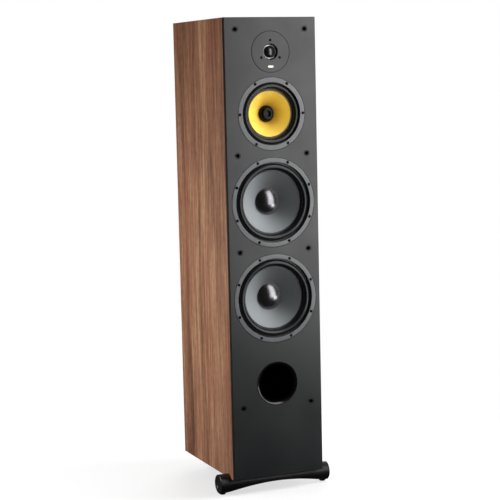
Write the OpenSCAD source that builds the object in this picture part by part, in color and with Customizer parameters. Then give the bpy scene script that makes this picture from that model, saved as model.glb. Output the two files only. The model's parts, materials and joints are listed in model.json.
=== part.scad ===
// Three-way floorstanding loudspeaker: bass-reflex cabinet on two foot bars, two woofers,
// a midrange and a dome tweeter. Millimetres, +Z up, the baffle faces -Y, and the origin is
// on the floor at the centre of the footprint. Depths are measured inwards from a face.

/* [Cabinet] */
// Width over the side panels
cab_w = 240; // [238:1:252]
// Depth from the baffle's face to the rear face
cab_d = 343; // [330:1:380]
// Height of the cabinet without its feet
cab_h = 1125; // [1122:1:1160]
// Thickness of the side, top, bottom and rear panels
panel_t = 18; // [16:1:18]
// Full thickness of the front baffle
baffle_t = 22; // [22:1:25]
// Depth of the black baffle edge that shows in front of the side panels
baffle_lip = 9.2; // [7:0.2:10]
// Radius that eases the baffle's front edges
baffle_edge_r = 1.6; // [1:0.2:4]

/* [Heights above the cabinet's underside] */
// Tweeter axis
tweeter_h = 1042.4; // [1040:0.2:1046]
// Midrange axis
mid_h = 893.6; // [891:0.2:896]
// Upper woofer axis
woofer_upper_h = 679; // [677:0.2:681]
// Lower woofer axis
woofer_lower_h = 443.6; // [441:0.2:446]
// Port axis
port_h = 231.8; // [228:0.2:236]

/* [Woofers] */
// Outer radius of the basket flange
woofer_flange_r = 109; // [108:0.2:109.6]
// Radius inside the basket flange
woofer_throat_r = 98.3; // [98:0.1:98.6]
// Radius where the cone meets its surround
woofer_cone_r = 75; // [73:0.2:75.4]
// Radius of the dust cap
woofer_cap_r = 33; // [28:0.5:36]

/* [Midrange] */
// Outer radius of the basket flange
mid_flange_r = 88; // [87:0.5:89]
// Radius inside the basket flange
mid_throat_r = 76; // [75.8:0.1:76.4]
// Radius where the cone meets its surround
mid_cone_r = 55.4; // [54:0.2:55.6]

/* [Tweeter] */
// Radius of the face plate
tweeter_plate_r = 49.6; // [48:0.2:51]
// Radius of the dome
dome_r = 12.9; // [12.5:0.1:13]

/* [Port] */
// Radius of the flared mouth
port_mouth_r = 54; // [52:0.5:56]
// Inner radius of the tube
port_bore_r = 45; // [40:0.5:46]
// Length from the baffle's face to the inner end
port_length = 165; // [120:5:190]

/* [Feet] */
// Height of the cabinet's underside above the floor
foot_clearance = 40; // [38:1:42]
// Radius of the foot bars
foot_r = 23.7; // [22.5:0.1:24.5]
// Overhang of the front bar past the side panels
foot_overhang = 28; // [24:1:40]
// Length of the rear bar
foot_rear_length = 120; // [110:2:150]
// Distance from the cabinet's face to the nearer bar's axis
foot_inset = 39.7; // [34:0.1:60]

/* [Hidden] */
$fn = 96;
eps = 0.5;                      // a cut runs this far past the face it opens
fit = 0.1;                      // glue line or slip clearance between two pieces
pilot = 0.05;                   // radial clearance of a screw in its pilot hole

// Cabinet
front_y = -cab_d / 2;
rear_y = cab_d / 2;
base_z = foot_clearance;
inner_w = cab_w - 2 * panel_t;
inner_h = cab_h - 2 * panel_t;
tube_y = front_y + baffle_lip;  // front edge of the side, top and bottom panels
inner_front_y = front_y + baffle_t;
inner_rear_y = rear_y - panel_t;
inner_d = inner_rear_y - inner_front_y;
edge_bevel = 0.8;
brace_t = 15;
brace_rim = 32;
brace_corner_r = 24;
divider_h = (mid_h - mid_throat_r + woofer_upper_h + woofer_throat_r) / 2;
brace_upper_h = (woofer_upper_h + woofer_lower_h) / 2;
brace_lower_h = 325;
wire_hole = [60, 60];           // x and y of the hole in the divider
wire_hole_r = 9;

// Grille sockets: four heights, one either side of the drivers
socket_x = 91.3;
socket_h = [178, 561.4, 795.8, 1096.6];
socket_hole_r = 4.3;
socket_body_r = 5.4;
socket_rim_r = 6.6;
socket_rim_t = 0.8;
socket_depth = 14;
socket_floor = 1.5;

// Port
port_wall = 2.5;
port_rim = 0.4;                 // flat rim outside the flare's curve
port_flange_t = 3;
port_hole_r = port_mouth_r - 2;
port_flare = port_mouth_r - port_rim - port_bore_r;

// Feet
foot_axis_z = foot_r + 2.4;
foot_front_half = cab_w / 2 + foot_overhang;
foot_rear_half = foot_rear_length / 2;
foot_rim = 1.5;                 // bevel round the bar's ends
foot_y = cab_d / 2 - foot_inset;
foot_arch_z = 22;               // height of the arch under the middle of the front bar
foot_arch_r = 520;
foot_side_gap = 0.3;
pad_inset = 11;                 // from a bar's end to its pad's axis
pad_r = 8;
pad_t = 6;
foot_front_bolt_x = 70;
foot_rear_bolt_x = 28;
foot_bolt_r = 3;
foot_bolt_head_r = 6.5;
foot_bolt_head_t = 6;
foot_bolt_seat_z = 24;
foot_bolt_top_z = 55;

// Screws
screw_r = 2;
screw_head_r = 3.5;
screw_head_t = 2.2;
screw_sink = 2.6;               // depth of the flange's counterbore
screw_tip_d = 19.5;
small_r = 1.6;
small_head_r = 3;
small_head_t = 1.6;
hex_r = 1.6;
hex_t = 1.2;

// Cone drivers
flange_t = 6;
flange_edge = 0.6;
throat_wall = 1.5;
ledge_d = 9.6;                  // shelf that holds the surround
ledge_w = 8;
rubber_t = 0.9;
cone_t = 1.1;
rim_w = 4;                      // width of the cone's flat rim, under the surround's lip
former_t = 0.3;
winding_t = 0.9;
pole_gap = 0.6;                 // from the pole to the former
outer_gap = 0.7;                // from the winding to the top plate
spider_t = 0.6;
spider_lip = 4;
spider_waves = 5;
magnet_gap = 3;                 // from the winding to the magnet's bore
spoke_count = 6;
window_angle = 38;

// Woofers
woofer_screw_r = 103.7;
woofer_screws = 8;
woofer_screw_first = 22.5;
woofer_coil_r = 19;             // inside of the former
woofer_rim_d = 13.4;
woofer_neck_d = 47.5;
woofer_roll_r = 86.6;           // radius of the surround's crest, and of the roll itself
woofer_roll_size = 8;
woofer_crest_d = 0.9;
woofer_cap_height = 12;
woofer_spider_d = 58;
woofer_spider_r = 62;
woofer_plate_d = 80;            // front face of the top plate
woofer_plate_t = 6;
woofer_plate_r = 50;
woofer_magnet_r = 55;
woofer_magnet_t = 18;
woofer_back_t = 8;
woofer_vent_r = 6;
woofer_winding = 18;

// Midrange
mid_screw_r = 83.1;
mid_screws = 6;
mid_coil_r = 19.9;
mid_rim_d = 12.6;
mid_neck_d = 34;
mid_roll_r = 67.2;
mid_roll_size = 6.8;
mid_crest_d = 1.6;
mid_spider_d = 45;
mid_spider_r = 50;
mid_plate_d = 60;
mid_plate_t = 5;
mid_plate_r = 44;
mid_magnet_r = 48;
mid_magnet_t = 16;
mid_back_t = 6;
mid_winding = 9;
plug_gap = 1.1;                 // from the phase plug to the former
plug_shoulder_d = 33;
plug_nose_d = 24.5;
plug_nose_r = 10.4;
plug_dish_r = 6;
plug_dish_d = 29;

// Tweeter
tweeter_plate_t = 5;
tweeter_boss_r = 21;
tweeter_boss_d = 8;
tweeter_mouth_r = 19.3;
tweeter_ring_r = 16.8;          // outside and inside of the clamp ring
tweeter_ring_in_r = 14.4;
tweeter_ring_d = 6.4;
tweeter_screw_r = 27.7;
tweeter_screw_tip_d = 17;
tweeter_hole_r = 22;
tweeter_motor_d = 28;
tweeter_cup_wall = 3.5;
tweeter_cup_floor = 4;
tweeter_coil_t = 0.5;
tweeter_coil_d = 12;
tweeter_pole_r = 12;
tweeter_pole_d = 9.4;
dome_rim_d = 7;
dome_height = 5.2;
dome_t = 0.3;
badge_drop = 35.5;
badge_w = 15;
badge_tall = 5;
badge_t = 0.8;

// Terminals
cup_h = 175;                    // height of the cup's centre above the underside
cup_w = 84;
cup_tall = 104;
cup_corner_r = 8;
cup_flange_t = 3;
cup_border = 11;                // width of the flange round the basin
cup_depth = 28;
cup_wall = 2.5;
cup_screw = [cup_w / 2 - cup_border / 2, cup_tall / 2 - cup_border / 2];
cup_screw_tip_d = 15;
post_x = 14;
stud_r = 4;
stud_mouth_d = 6;
stud_tip_d = 42;
banana_r = 2.05;
banana_length = 18;
seat_r = 8;
seat_t = 2;
nut_r = 7.5;
nut_t = 4;
collar_t = 1.5;
knob_r = 7.6;
knob_length = 14.4;
knob_grooves = 12;
groove_r = 0.9;
cup_floor_d = cup_depth - cup_wall;
collar_d = cup_floor_d - seat_t - fit - collar_t;    // outer face of the collar
knob_d = collar_d - fit - knob_length;               // outer face of the knob

// Crossover
board_w = 96;
board_tall = 170;
board_t = 1.6;
spacer_t = 8;
spacer_r = 4;
board_h = brace_upper_h / 2 + brace_lower_h / 2;
board_y = inner_rear_y - spacer_t - board_t;         // the board's front face
board_screw = [42, 79];
board_screw_y = inner_rear_y + 12;

walnut = [0.5, 0.35, 0.26];
satin_black = [0.1, 0.1, 0.105];
frame_grey = [0.36, 0.36, 0.36];
rubber_black = [0.05, 0.05, 0.055];
cone_silver = [0.62, 0.62, 0.64];
woven_yellow = [0.9, 0.7, 0.15];
gloss_black = [0.03, 0.03, 0.035];
steel = [0.6, 0.6, 0.62];
ferrite = [0.14, 0.14, 0.15];
copper = [0.72, 0.4, 0.22];
brass = [0.8, 0.65, 0.3];
cloth_tan = [0.7, 0.6, 0.4];
fibreboard = [0.62, 0.48, 0.33];

// ---- placing

// Children point +Z out of the baffle, at a height above the cabinet's underside.
module on_baffle(h) translate([0, front_y, base_z + h]) rotate([90, 0, 0]) children();

// Children point +Z out of the rear face.
module on_rear(h) translate([0, rear_y, base_z + h]) rotate([-90, 0, 0]) children();

module ring_of(count, r, first = 0)
    for (i = [0 : count - 1]) rotate(first + i * 360 / count) translate([r, 0, 0]) children();

module at_sockets() for (h = socket_h, side = [-1, 1]) on_baffle(h) translate([side * socket_x, 0, 0]) children();

module at_corners(x, y) for (sx = [-1, 1], sy = [-1, 1]) translate([sx * x, sy * y, 0]) children();

module at_post(side) on_rear(cup_h) translate([side * post_x, 0, 0]) children();

module at_board_screws() for (sx = [-1, 1], sz = [-1, 1])
    translate([sx * board_screw[0], board_y, base_z + board_h + sz * board_screw[1]])
        rotate([90, 0, 0]) children();

// ---- shapes

module rounded_rect(w, h, r) {
    square([w - 2 * r, h], center = true);
    square([w, h - 2 * r], center = true);
    at_corners(w / 2 - r, h / 2 - r) circle(r);
}

// A plate from depth d1 to the deeper d2.
module plate(d1, d2) translate([0, 0, -d2]) linear_extrude(d2 - d1) children();

module disc(r, d1, d2) translate([0, 0, -d2]) cylinder(h = d2 - d1, r = r);

module ring(r_in, r_out, d1, d2) difference() {
    disc(r_out, d1, d2);
    disc(r_in, d1 - eps, d2 + eps);
}

// A body of revolution from a list of [radius, depth].
module turned(points) rotate_extrude() polygon([for (p = points) [p[0], -p[1]]]);

// Points [radius, depth] along an arc, centred at c.
function arc(c, r, a1, a2, steps = 10) =
    [for (i = [0 : steps]) let (a = a1 + (a2 - a1) * i / steps) [c[0] + r * cos(a), c[1] - r * sin(a)]];

// A flat-head screw: hex_r is the socket in its head.
module screw(head_r, head_t, shank_r, head_d, tip_d) difference() {
    union() {
        disc(head_r, head_d, head_d + head_t);
        disc(shank_r, head_d, tip_d);
    }
    translate([0, 0, -head_d - hex_t]) cylinder(h = hex_t + eps, r = hex_r, $fn = 6);
}

// ---- cabinet

// One panel of the mitred tube with its outer face at z = 0 and its outer long edges eased.
module tube_panel(length) intersection() {
    translate([0, (tube_y + rear_y) / 2, 0]) rotate([90, 0, 0]) linear_extrude(rear_y - tube_y, center = true)
        polygon([[-length / 2, 0], [length / 2, 0],
                 [length / 2 - panel_t, -panel_t], [-length / 2 + panel_t, -panel_t]]);
    rotate([90, 0, 90]) linear_extrude(length, center = true)
        polygon([[tube_y, -panel_t - 1], [rear_y, -panel_t - 1], [rear_y, -edge_bevel],
                 [rear_y - edge_bevel, 0], [tube_y + edge_bevel, 0], [tube_y, -edge_bevel]]);
}

module side_panel(side) color(walnut)
    translate([side * cab_w / 2, 0, base_z + cab_h / 2]) rotate([0, side * 90, 0]) tube_panel(cab_h);

module top_panel() color(walnut) translate([0, 0, base_z + cab_h]) tube_panel(cab_w);

// A pair of places under each bar: x from the middle for the front bar and for the rear one.
module at_feet(front_x, rear_x) for (sx = [-1, 1]) {
    translate([sx * front_x, -foot_y, 0]) children();
    translate([sx * rear_x, foot_y, 0]) children();
}

module at_foot_bolts() at_feet(foot_front_bolt_x, foot_rear_bolt_x) children();

module bottom_panel() color(walnut) difference() {
    translate([0, 0, base_z]) rotate([0, 180, 0]) tube_panel(cab_w);
    at_foot_bolts() cylinder(h = foot_bolt_top_z + fit, r = foot_bolt_r + pilot);
}

module rear_panel() color(walnut) difference() {
    translate([-inner_w / 2 + fit, inner_rear_y, base_z + panel_t + fit])
        cube([inner_w - 2 * fit, panel_t, inner_h - 2 * fit]);
    on_rear(cup_h) {
        plate(-eps, cup_flange_t + fit) rounded_rect(cup_w + 4 * fit, cup_tall + 4 * fit, cup_corner_r);
        plate(0, panel_t + eps)
            rounded_rect(cup_w - 2 * cup_border + 1, cup_tall - 2 * cup_border + 1, cup_corner_r);
        at_corners(cup_screw[0], cup_screw[1]) disc(small_r + pilot, 0, cup_screw_tip_d + fit);
    }
    at_board_screws() disc(small_r + pilot, spacer_t, board_screw_y - board_y + fit);
}

// The baffle's lip seen along one edge, with its two front corners eased.
module eased_section(w) polygon(concat(
    [[-w / 2, tube_y], [w / 2, tube_y]],
    [for (i = [0 : 6]) let (a = i * 15) [w / 2 - baffle_edge_r * (1 - cos(a)), front_y + baffle_edge_r * (1 - sin(a))]],
    [for (i = [6 : -1 : 0]) let (a = i * 15) [-w / 2 + baffle_edge_r * (1 - cos(a)), front_y + baffle_edge_r * (1 - sin(a))]]));

module baffle_blank() {
    intersection() {
        translate([0, 0, base_z]) linear_extrude(cab_h) eased_section(cab_w);
        translate([0, 0, base_z + cab_h / 2]) rotate([90, 0, 90])
            linear_extrude(cab_w, center = true) rotate(90) mirror([0, 1]) eased_section(cab_h);
    }
    translate([-inner_w / 2 + fit, tube_y, base_z + panel_t + fit])
        cube([inner_w - 2 * fit, baffle_t - baffle_lip, inner_h - 2 * fit]);
}

module driver_cutout(flange_r, throat_r, bolt_r, screws, first) {
    disc(flange_r + 4 * fit, -eps, flange_t + fit);
    disc(throat_r + throat_wall + eps, 0, baffle_t + eps);
    ring_of(screws, bolt_r, first) disc(screw_r + pilot, 0, screw_tip_d + fit);
}

module front_baffle() color(satin_black) difference() {
    baffle_blank();
    for (h = [woofer_upper_h, woofer_lower_h]) on_baffle(h)
        driver_cutout(woofer_flange_r, woofer_throat_r, woofer_screw_r, woofer_screws, woofer_screw_first);
    on_baffle(mid_h) driver_cutout(mid_flange_r, mid_throat_r, mid_screw_r, mid_screws, 0);
    on_baffle(tweeter_h) {
        disc(tweeter_plate_r + 4 * fit, -eps, tweeter_plate_t + fit);
        disc(tweeter_hole_r, 0, baffle_t + eps);
        ring_of(3, tweeter_screw_r, 90) disc(small_r + pilot, 0, tweeter_screw_tip_d + fit);
    }
    on_baffle(port_h) {
        disc(port_mouth_r + 2 * fit, -eps, port_flange_t + fit);
        disc(port_hole_r, 0, baffle_t + eps);
    }
    at_sockets() {
        disc(socket_body_r + pilot, -eps, socket_depth + fit);
        disc(socket_rim_r + pilot, -eps, socket_rim_t + pilot);
    }
}

module chamber_divider() color(fibreboard) difference() {
    translate([-inner_w / 2 + fit, inner_front_y + fit, base_z + divider_h - brace_t / 2])
        cube([inner_w - 2 * fit, inner_d - 2 * fit, brace_t]);
    translate([wire_hole[0], wire_hole[1], base_z + divider_h - brace_t]) cylinder(h = 2 * brace_t, r = wire_hole_r);
}

module window_brace(h) translate([0, (inner_front_y + inner_rear_y) / 2, base_z + h - brace_t / 2])
    linear_extrude(brace_t) difference() {
        square([inner_w - 2 * fit, inner_d - 2 * fit], center = true);
        rounded_rect(inner_w - 2 * brace_rim, inner_d - 2 * brace_rim, brace_corner_r);
    }

module cabinet_braces() color(fibreboard) for (h = [brace_upper_h, brace_lower_h]) window_brace(h);

// A fibre pad against the rear panel.
module wadding_pad(h1, h2, thick) translate([15 - inner_w / 2, inner_rear_y - thick - 1, base_z + h1])
    cube([inner_w - 30, thick, h2 - h1]);

module damping_wadding() color("ivory") {
    wadding_pad(brace_upper_h + 20, divider_h - 20, 35);
    wadding_pad(divider_h + 20, cab_h - panel_t - 12, 45);
}

module grille_sockets() color(satin_black) at_sockets() difference() {
    union() {
        disc(socket_body_r, 0, socket_depth);
        disc(socket_rim_r, 0, socket_rim_t);
    }
    disc(socket_hole_r, -eps, socket_depth - socket_floor);
}

module port_tube() color(gloss_black) on_baffle(port_h) turned(concat(
    arc([port_bore_r + port_flare, port_flare], port_flare, 90, 180),
    [[port_bore_r, port_length], [port_bore_r + port_wall, port_length]],
    arc([port_bore_r + port_flare, port_flare], port_flare - port_wall, 180, 90),
    [[port_mouth_r, port_wall], [port_mouth_r, 0]]));

// ---- feet

// A round bar across the cabinet with a flat saddle under it, and holes for its bolts and pads.
module foot_bar(y, half) difference() {
    translate([0, y, foot_axis_z]) rotate([0, 90, 0]) rotate_extrude() polygon([
        [0, -half], [foot_r - foot_rim, -half], [foot_r, -half + foot_rim],
        [foot_r, half - foot_rim], [foot_r - foot_rim, half], [0, half]]);
    translate([-cab_w / 2 - foot_side_gap, y - foot_r - eps, base_z])
        cube([cab_w + 2 * foot_side_gap, 2 * foot_r + 2 * eps, foot_r]);
    at_foot_bolts() {
        cylinder(h = base_z + eps, r = foot_bolt_r + fit);
        cylinder(h = foot_bolt_seat_z, r = foot_bolt_head_r + eps);
    }
    at_pads() translate([0, 0, -eps]) cylinder(h = pad_t + fit + eps, r = pad_r + fit);
}

module at_pads() at_feet(foot_front_half - pad_inset, foot_rear_half - pad_inset) children();

module foot_bar_front() color(satin_black) difference() {
    foot_bar(-foot_y, foot_front_half);
    translate([0, -foot_y, foot_arch_z - foot_arch_r]) rotate([90, 0, 0])
        cylinder(h = 2 * foot_r + 2, r = foot_arch_r, center = true, $fn = 720);
}

module foot_bar_rear() color(satin_black) foot_bar(foot_y, foot_rear_half);

module foot_pads() color(rubber_black) at_pads() cylinder(h = pad_t, r = pad_r);

module foot_bolts() color(steel) at_foot_bolts() difference() {
    union() {
        translate([0, 0, foot_bolt_seat_z - foot_bolt_head_t]) cylinder(h = foot_bolt_head_t, r = foot_bolt_head_r);
        translate([0, 0, foot_bolt_seat_z]) cylinder(h = foot_bolt_top_z - foot_bolt_seat_z, r = foot_bolt_r);
    }
    translate([0, 0, foot_bolt_seat_z - foot_bolt_head_t - eps]) cylinder(h = 4, r = foot_bolt_r, $fn = 6);
}

// ---- terminals

module terminal_cup() color(gloss_black) on_rear(cup_h) difference() {
    union() {
        plate(0, cup_flange_t) rounded_rect(cup_w, cup_tall, cup_corner_r);
        plate(0, cup_depth) rounded_rect(cup_w - 2 * cup_border, cup_tall - 2 * cup_border, cup_corner_r);
    }
    plate(-eps, cup_floor_d) rounded_rect(cup_w - 2 * cup_border - 2 * cup_wall,
        cup_tall - 2 * cup_border - 2 * cup_wall, cup_corner_r - cup_wall);
    for (side = [-1, 1]) translate([side * post_x, 0, 0]) disc(stud_r + fit, 0, cup_depth + eps);
    at_corners(cup_screw[0], cup_screw[1]) {
        disc(small_head_r + fit, -eps, small_head_t);
        disc(small_r + fit, 0, cup_depth);
    }
}

module binding_post_studs() color(brass) for (side = [-1, 1]) at_post(side) difference() {
    union() {
        disc(stud_r, stud_mouth_d, stud_tip_d);
        disc(seat_r, cup_floor_d - seat_t, cup_floor_d);
        translate([0, 0, -cup_depth - nut_t]) cylinder(h = nut_t, r = nut_r, $fn = 6);
    }
    disc(banana_r, stud_mouth_d - eps, stud_mouth_d + banana_length);
}

module post_collar(side) at_post(side) ring(stud_r + fit, knob_r, collar_d, collar_d + collar_t);

module post_knob(side) at_post(side) difference() {
    ring(stud_r + fit, knob_r, knob_d, knob_d + knob_length);
    ring_of(knob_grooves, knob_r + groove_r / 2) disc(groove_r, knob_d - eps, knob_d + knob_length - 2);
}

// ---- crossover

// Children sit on the board's front face with +Z out of it, at [x, h].
module on_board(x, h) translate([x, board_y, base_z + h]) rotate([90, 0, 0]) children();

module crossover_board() color("darkgreen") difference() {
    union() {
        translate([-board_w / 2, board_y, base_z + board_h - board_tall / 2]) cube([board_w, board_t, board_tall]);
        at_board_screws() disc(spacer_r, 0, spacer_t + board_t);
    }
    at_board_screws() disc(small_r + fit, -eps, spacer_t + board_t + eps);
}

module air_coil(r, length) translate([0, 0, length]) ring(r * 0.42, r, 0, length);

module crossover_coils() color(copper) {
    on_board(-24, board_h + 57) air_coil(21, 16);
    on_board(24, board_h + 53) air_coil(20, 14);
    on_board(-26, board_h - 51) air_coil(18, 16);
}

module capacitor(r, length) translate([0, 0, r]) rotate([90, 0, 0]) cylinder(h = length, r = r, center = true);

module crossover_capacitors() color("goldenrod") {
    for (x = [6, 26]) on_board(x, board_h - 13) capacitor(8, 44);
    for (x = [14, 32]) on_board(x, board_h - 59) capacitor(7, 36);
}

module crossover_resistors() color("white") for (h = [-3, 13])
    on_board(-26, board_h + h) translate([-18, -4.5, 0]) cube([36, 9, 9]);

// Four screws through the crossover board and four through the terminal cup.
module panel_screws() color(steel) {
    at_board_screws() screw(small_head_r, small_head_t, small_r, -small_head_t, board_screw_y - board_y);
    on_rear(cup_h) at_corners(cup_screw[0], cup_screw[1])
        screw(small_head_r, small_head_t, small_r, 0, cup_screw_tip_d);
}

wire_r = 2;
elbow_grow = 1.1;               // the elbows stand a little proud of the straight runs

// A cable through a list of [x, y, height above the cabinet's underside].
module cable(points) for (i = [1 : len(points) - 1]) {
    a = points[i - 1];
    v = points[i] - a;
    translate([a[0], a[1], base_z + a[2]]) rotate([0, acos(v[2] / norm(v)), atan2(v[1], v[0])]) {
        cylinder(h = norm(v), r = wire_r, $fn = 24);
        if (i > 1) sphere(wire_r * elbow_grow, $fn = 24);
    }
}

module wiring_harness() color(rubber_black) {
    bottom_h = board_h - board_tall / 2 + 3;
    top_h = board_h + board_tall / 2 - 3;
    end_y = board_y - wire_r - 1;
    wire_x = wire_hole[0];
    wire_y = wire_hole[1];
    for (x = [-post_x, post_x])
        cable([[x, rear_y - stud_tip_d - 3, cup_h], [x, 110, cup_h + 10], [x, 110, bottom_h - 12], [x, end_y, bottom_h]]);
    cable([[-46, end_y, board_h + 27], [-70, 100, board_h + 27], [-78, -40, woofer_lower_h + 6],
           [-66, front_y + woofer_plate_d - 7, woofer_lower_h]]);
    cable([[-2, end_y, top_h], [-2, 110, top_h + 15], [-20, 90, brace_upper_h], [-70, 60, brace_upper_h + 40],
           [-78, -40, woofer_upper_h - 6], [-66, front_y + woofer_plate_d - 7, woofer_upper_h]]);
    cable([[6, end_y, top_h], [6, 110, top_h + 15], [30, 90, brace_upper_h], [wire_x - 4, wire_y, brace_upper_h + 60],
           [wire_x - 4, wire_y, mid_h - 40], [58, -40, mid_h], [54, front_y + mid_plate_d - 2, mid_h]]);
    cable([[14, end_y, top_h], [14, 110, top_h + 15], [38, 90, brace_upper_h], [wire_x + 4, wire_y, brace_upper_h + 60],
           [wire_x + 4, wire_y, mid_h + 20], [40, -60, tweeter_h - 40],
           [tweeter_hole_r + 2, inner_front_y + 4, tweeter_h]]);
}

// ---- cone drivers

module basket(flange_r, throat_r, spider_r, spider_d, plate_r, plate_d, coil_r, bolt_r, screws, first) {
    shelf_r = spider_r + spider_lip + fit;
    shelf_d = spider_d + spider_t + fit;
    leg_d = ledge_d + 5;
    rear_r = coil_r + 10;
    difference() {
        turned([
            [throat_r, 0], [flange_r - flange_edge, 0], [flange_r, flange_edge], [flange_r, flange_t],
            [throat_r + throat_wall, flange_t], [throat_r + throat_wall, leg_d + 2],
            [shelf_r + 4, shelf_d + 3], [plate_r + 3, plate_d], [rear_r, plate_d],
            [rear_r, plate_d - 4], [shelf_r - 8, plate_d - 4], [shelf_r - 4, shelf_d],
            [shelf_r, shelf_d], [shelf_r, shelf_d - 3],
            [throat_r - ledge_w, leg_d], [throat_r - ledge_w, ledge_d], [throat_r, ledge_d]]);
        for (i = [0 : spoke_count - 1]) rotate(i * 360 / spoke_count)
            rotate_extrude(angle = window_angle) translate([shelf_r - 6, 5 - shelf_d])
                square([throat_r, shelf_d - leg_d - 10]);
        ring_of(screws, bolt_r, first) {
            disc(screw_head_r + 2 * fit, -eps, screw_sink);
            disc(screw_r + fit, 0, flange_t + eps);
        }
    }
}

module cone_screws(bolt_r, screws, first)
    ring_of(screws, bolt_r, first) screw(screw_head_r, screw_head_t, screw_r, screw_sink - screw_head_t, screw_tip_d);

module cone(coil_r, neck_d, edge_r, rim_d) {
    neck_r = coil_r + former_t + fit;
    turned([[neck_r, neck_d], [edge_r, rim_d], [edge_r + rim_w, rim_d], [edge_r + rim_w, rim_d + cone_t],
            [edge_r + fit, rim_d + cone_t], [neck_r, neck_d + 1.3 * cone_t]]);
}

// Half-roll rubber surround: a lip on the cone's rim, the roll, and a lip on the basket's ledge.
module surround(throat_r, edge_r, rim_d, roll_r, roll_size, crest_d) {
    centre = [roll_r, crest_d + roll_size];
    inner_r = roll_size - rubber_t;
    lip_d = rim_d - fit;
    shelf_d = ledge_d - fit;
    turned(concat(
        [[edge_r, lip_d], [edge_r, lip_d - rubber_t]],
        [[roll_r - roll_size, lip_d - rubber_t]],
        arc(centre, roll_size, 180, 0, 14),
        [[throat_r - fit, min(centre[1], shelf_d - rubber_t)], [throat_r - fit, shelf_d], [roll_r + inner_r, shelf_d]],
        arc(centre, inner_r, 0, 180, 14),
        [[roll_r - inner_r, lip_d]]));
}

// Corrugated disc that centres the voice coil.
module spider(coil_r, spider_r, spider_d) {
    inner = coil_r + former_t + fit;
    steps = spider_waves * 8;
    wave = [for (i = [0 : steps])
        [inner + (spider_r - inner) * i / steps, spider_d - 2 * sin(i * 360 * spider_waves / steps)]];
    turned(concat(wave, [[spider_r + spider_lip, spider_d]],
        [[spider_r + spider_lip, spider_d + spider_t]],
        [for (i = [steps : -1 : 0]) wave[i] + [0, spider_t]]));
}

// Former with a winding centred on the top plate.
module voice_coil(coil_r, top_d, plate_d, plate_t, winding) {
    middle = plate_d + plate_t / 2;
    ring(coil_r, coil_r + former_t, top_d, middle + winding / 2);
    ring(coil_r + former_t / 2, coil_r + former_t + winding_t, middle - winding / 2, middle + winding / 2);
}

module magnet(coil_r, magnet_r, magnet_t, plate_d, plate_t)
    ring(coil_r + former_t + winding_t + magnet_gap, magnet_r, plate_d + plate_t, plate_d + plate_t + magnet_t);

// Top plate, and the back plate with its pole.
module pole_pieces(coil_r, plate_r, plate_d, plate_t, magnet_t, back_t, vent_r) {
    back_d = plate_d + plate_t + magnet_t;
    ring(coil_r + former_t + winding_t + outer_gap, plate_r, plate_d, plate_d + plate_t);
    difference() {
        union() {
            disc(coil_r - pole_gap, plate_d, back_d + back_t);
            disc(plate_r, back_d, back_d + back_t);
        }
        if (vent_r > 0) disc(vent_r, plate_d - eps, back_d + back_t + eps);
    }
}

// A shallow dome glued to the cone at radius r.
module dust_cap(r, coil_r, neck_d, edge_r, rim_d) {
    neck_r = coil_r + former_t + fit;
    seat_d = rim_d + (edge_r - r) * (neck_d - rim_d) / (edge_r - neck_r) - 4 * fit;
    sphere_r = (r * r + woofer_cap_height * woofer_cap_height) / (2 * woofer_cap_height);
    centre = [0, seat_d - woofer_cap_height + sphere_r];
    edge = asin(r / sphere_r);
    turned(concat(
        arc(centre, sphere_r, 90 - edge, 90, 12),
        arc(centre, sphere_r - rubber_t, 90, 90 - edge, 12)));
}

module woofer_basket() color(frame_grey)
    basket(woofer_flange_r, woofer_throat_r, woofer_spider_r, woofer_spider_d, woofer_plate_r, woofer_plate_d,
        woofer_coil_r, woofer_screw_r, woofer_screws, woofer_screw_first);

module woofer_cone() color(cone_silver) cone(woofer_coil_r, woofer_neck_d, woofer_cone_r, woofer_rim_d);

module woofer_surround() color(rubber_black)
    surround(woofer_throat_r, woofer_cone_r, woofer_rim_d, woofer_roll_r, woofer_roll_size, woofer_crest_d);

module woofer_dust_cap() color(gloss_black)
    dust_cap(woofer_cap_r, woofer_coil_r, woofer_neck_d, woofer_cone_r, woofer_rim_d);

module woofer_spider() color(cloth_tan) spider(woofer_coil_r, woofer_spider_r, woofer_spider_d);

module woofer_voice_coil() color(copper)
    voice_coil(woofer_coil_r, woofer_neck_d - 4, woofer_plate_d, woofer_plate_t, woofer_winding);

module woofer_magnet() color(ferrite)
    magnet(woofer_coil_r, woofer_magnet_r, woofer_magnet_t, woofer_plate_d, woofer_plate_t);

module woofer_pole_pieces() color(steel)
    pole_pieces(woofer_coil_r, woofer_plate_r, woofer_plate_d, woofer_plate_t, woofer_magnet_t,
        woofer_back_t, woofer_vent_r);

// ---- midrange

module mid_basket() color(frame_grey)
    basket(mid_flange_r, mid_throat_r, mid_spider_r, mid_spider_d, mid_plate_r, mid_plate_d,
        mid_coil_r, mid_screw_r, mid_screws, 0);

module mid_cone() color(woven_yellow) cone(mid_coil_r, mid_neck_d, mid_cone_r, mid_rim_d);

module mid_surround() color(rubber_black)
    surround(mid_throat_r, mid_cone_r, mid_rim_d, mid_roll_r, mid_roll_size, mid_crest_d);

module mid_phase_plug() color(gloss_black) {
    r = mid_coil_r - plug_gap;
    turned(concat(
        [[0, mid_plate_d], [r, mid_plate_d], [r, plug_shoulder_d]],
        arc([plug_nose_r, plug_shoulder_d], r - plug_nose_r, 0, 90, 8),
        [[plug_nose_r - 1, plug_nose_d], [plug_dish_r, plug_dish_d], [0, plug_dish_d]]));
}

module mid_spider() color(cloth_tan) spider(mid_coil_r, mid_spider_r, mid_spider_d);

module mid_voice_coil() color(copper)
    voice_coil(mid_coil_r, mid_neck_d - 2, mid_plate_d, mid_plate_t, mid_winding);

module mid_magnet() color(ferrite) magnet(mid_coil_r, mid_magnet_r, mid_magnet_t, mid_plate_d, mid_plate_t);

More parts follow.
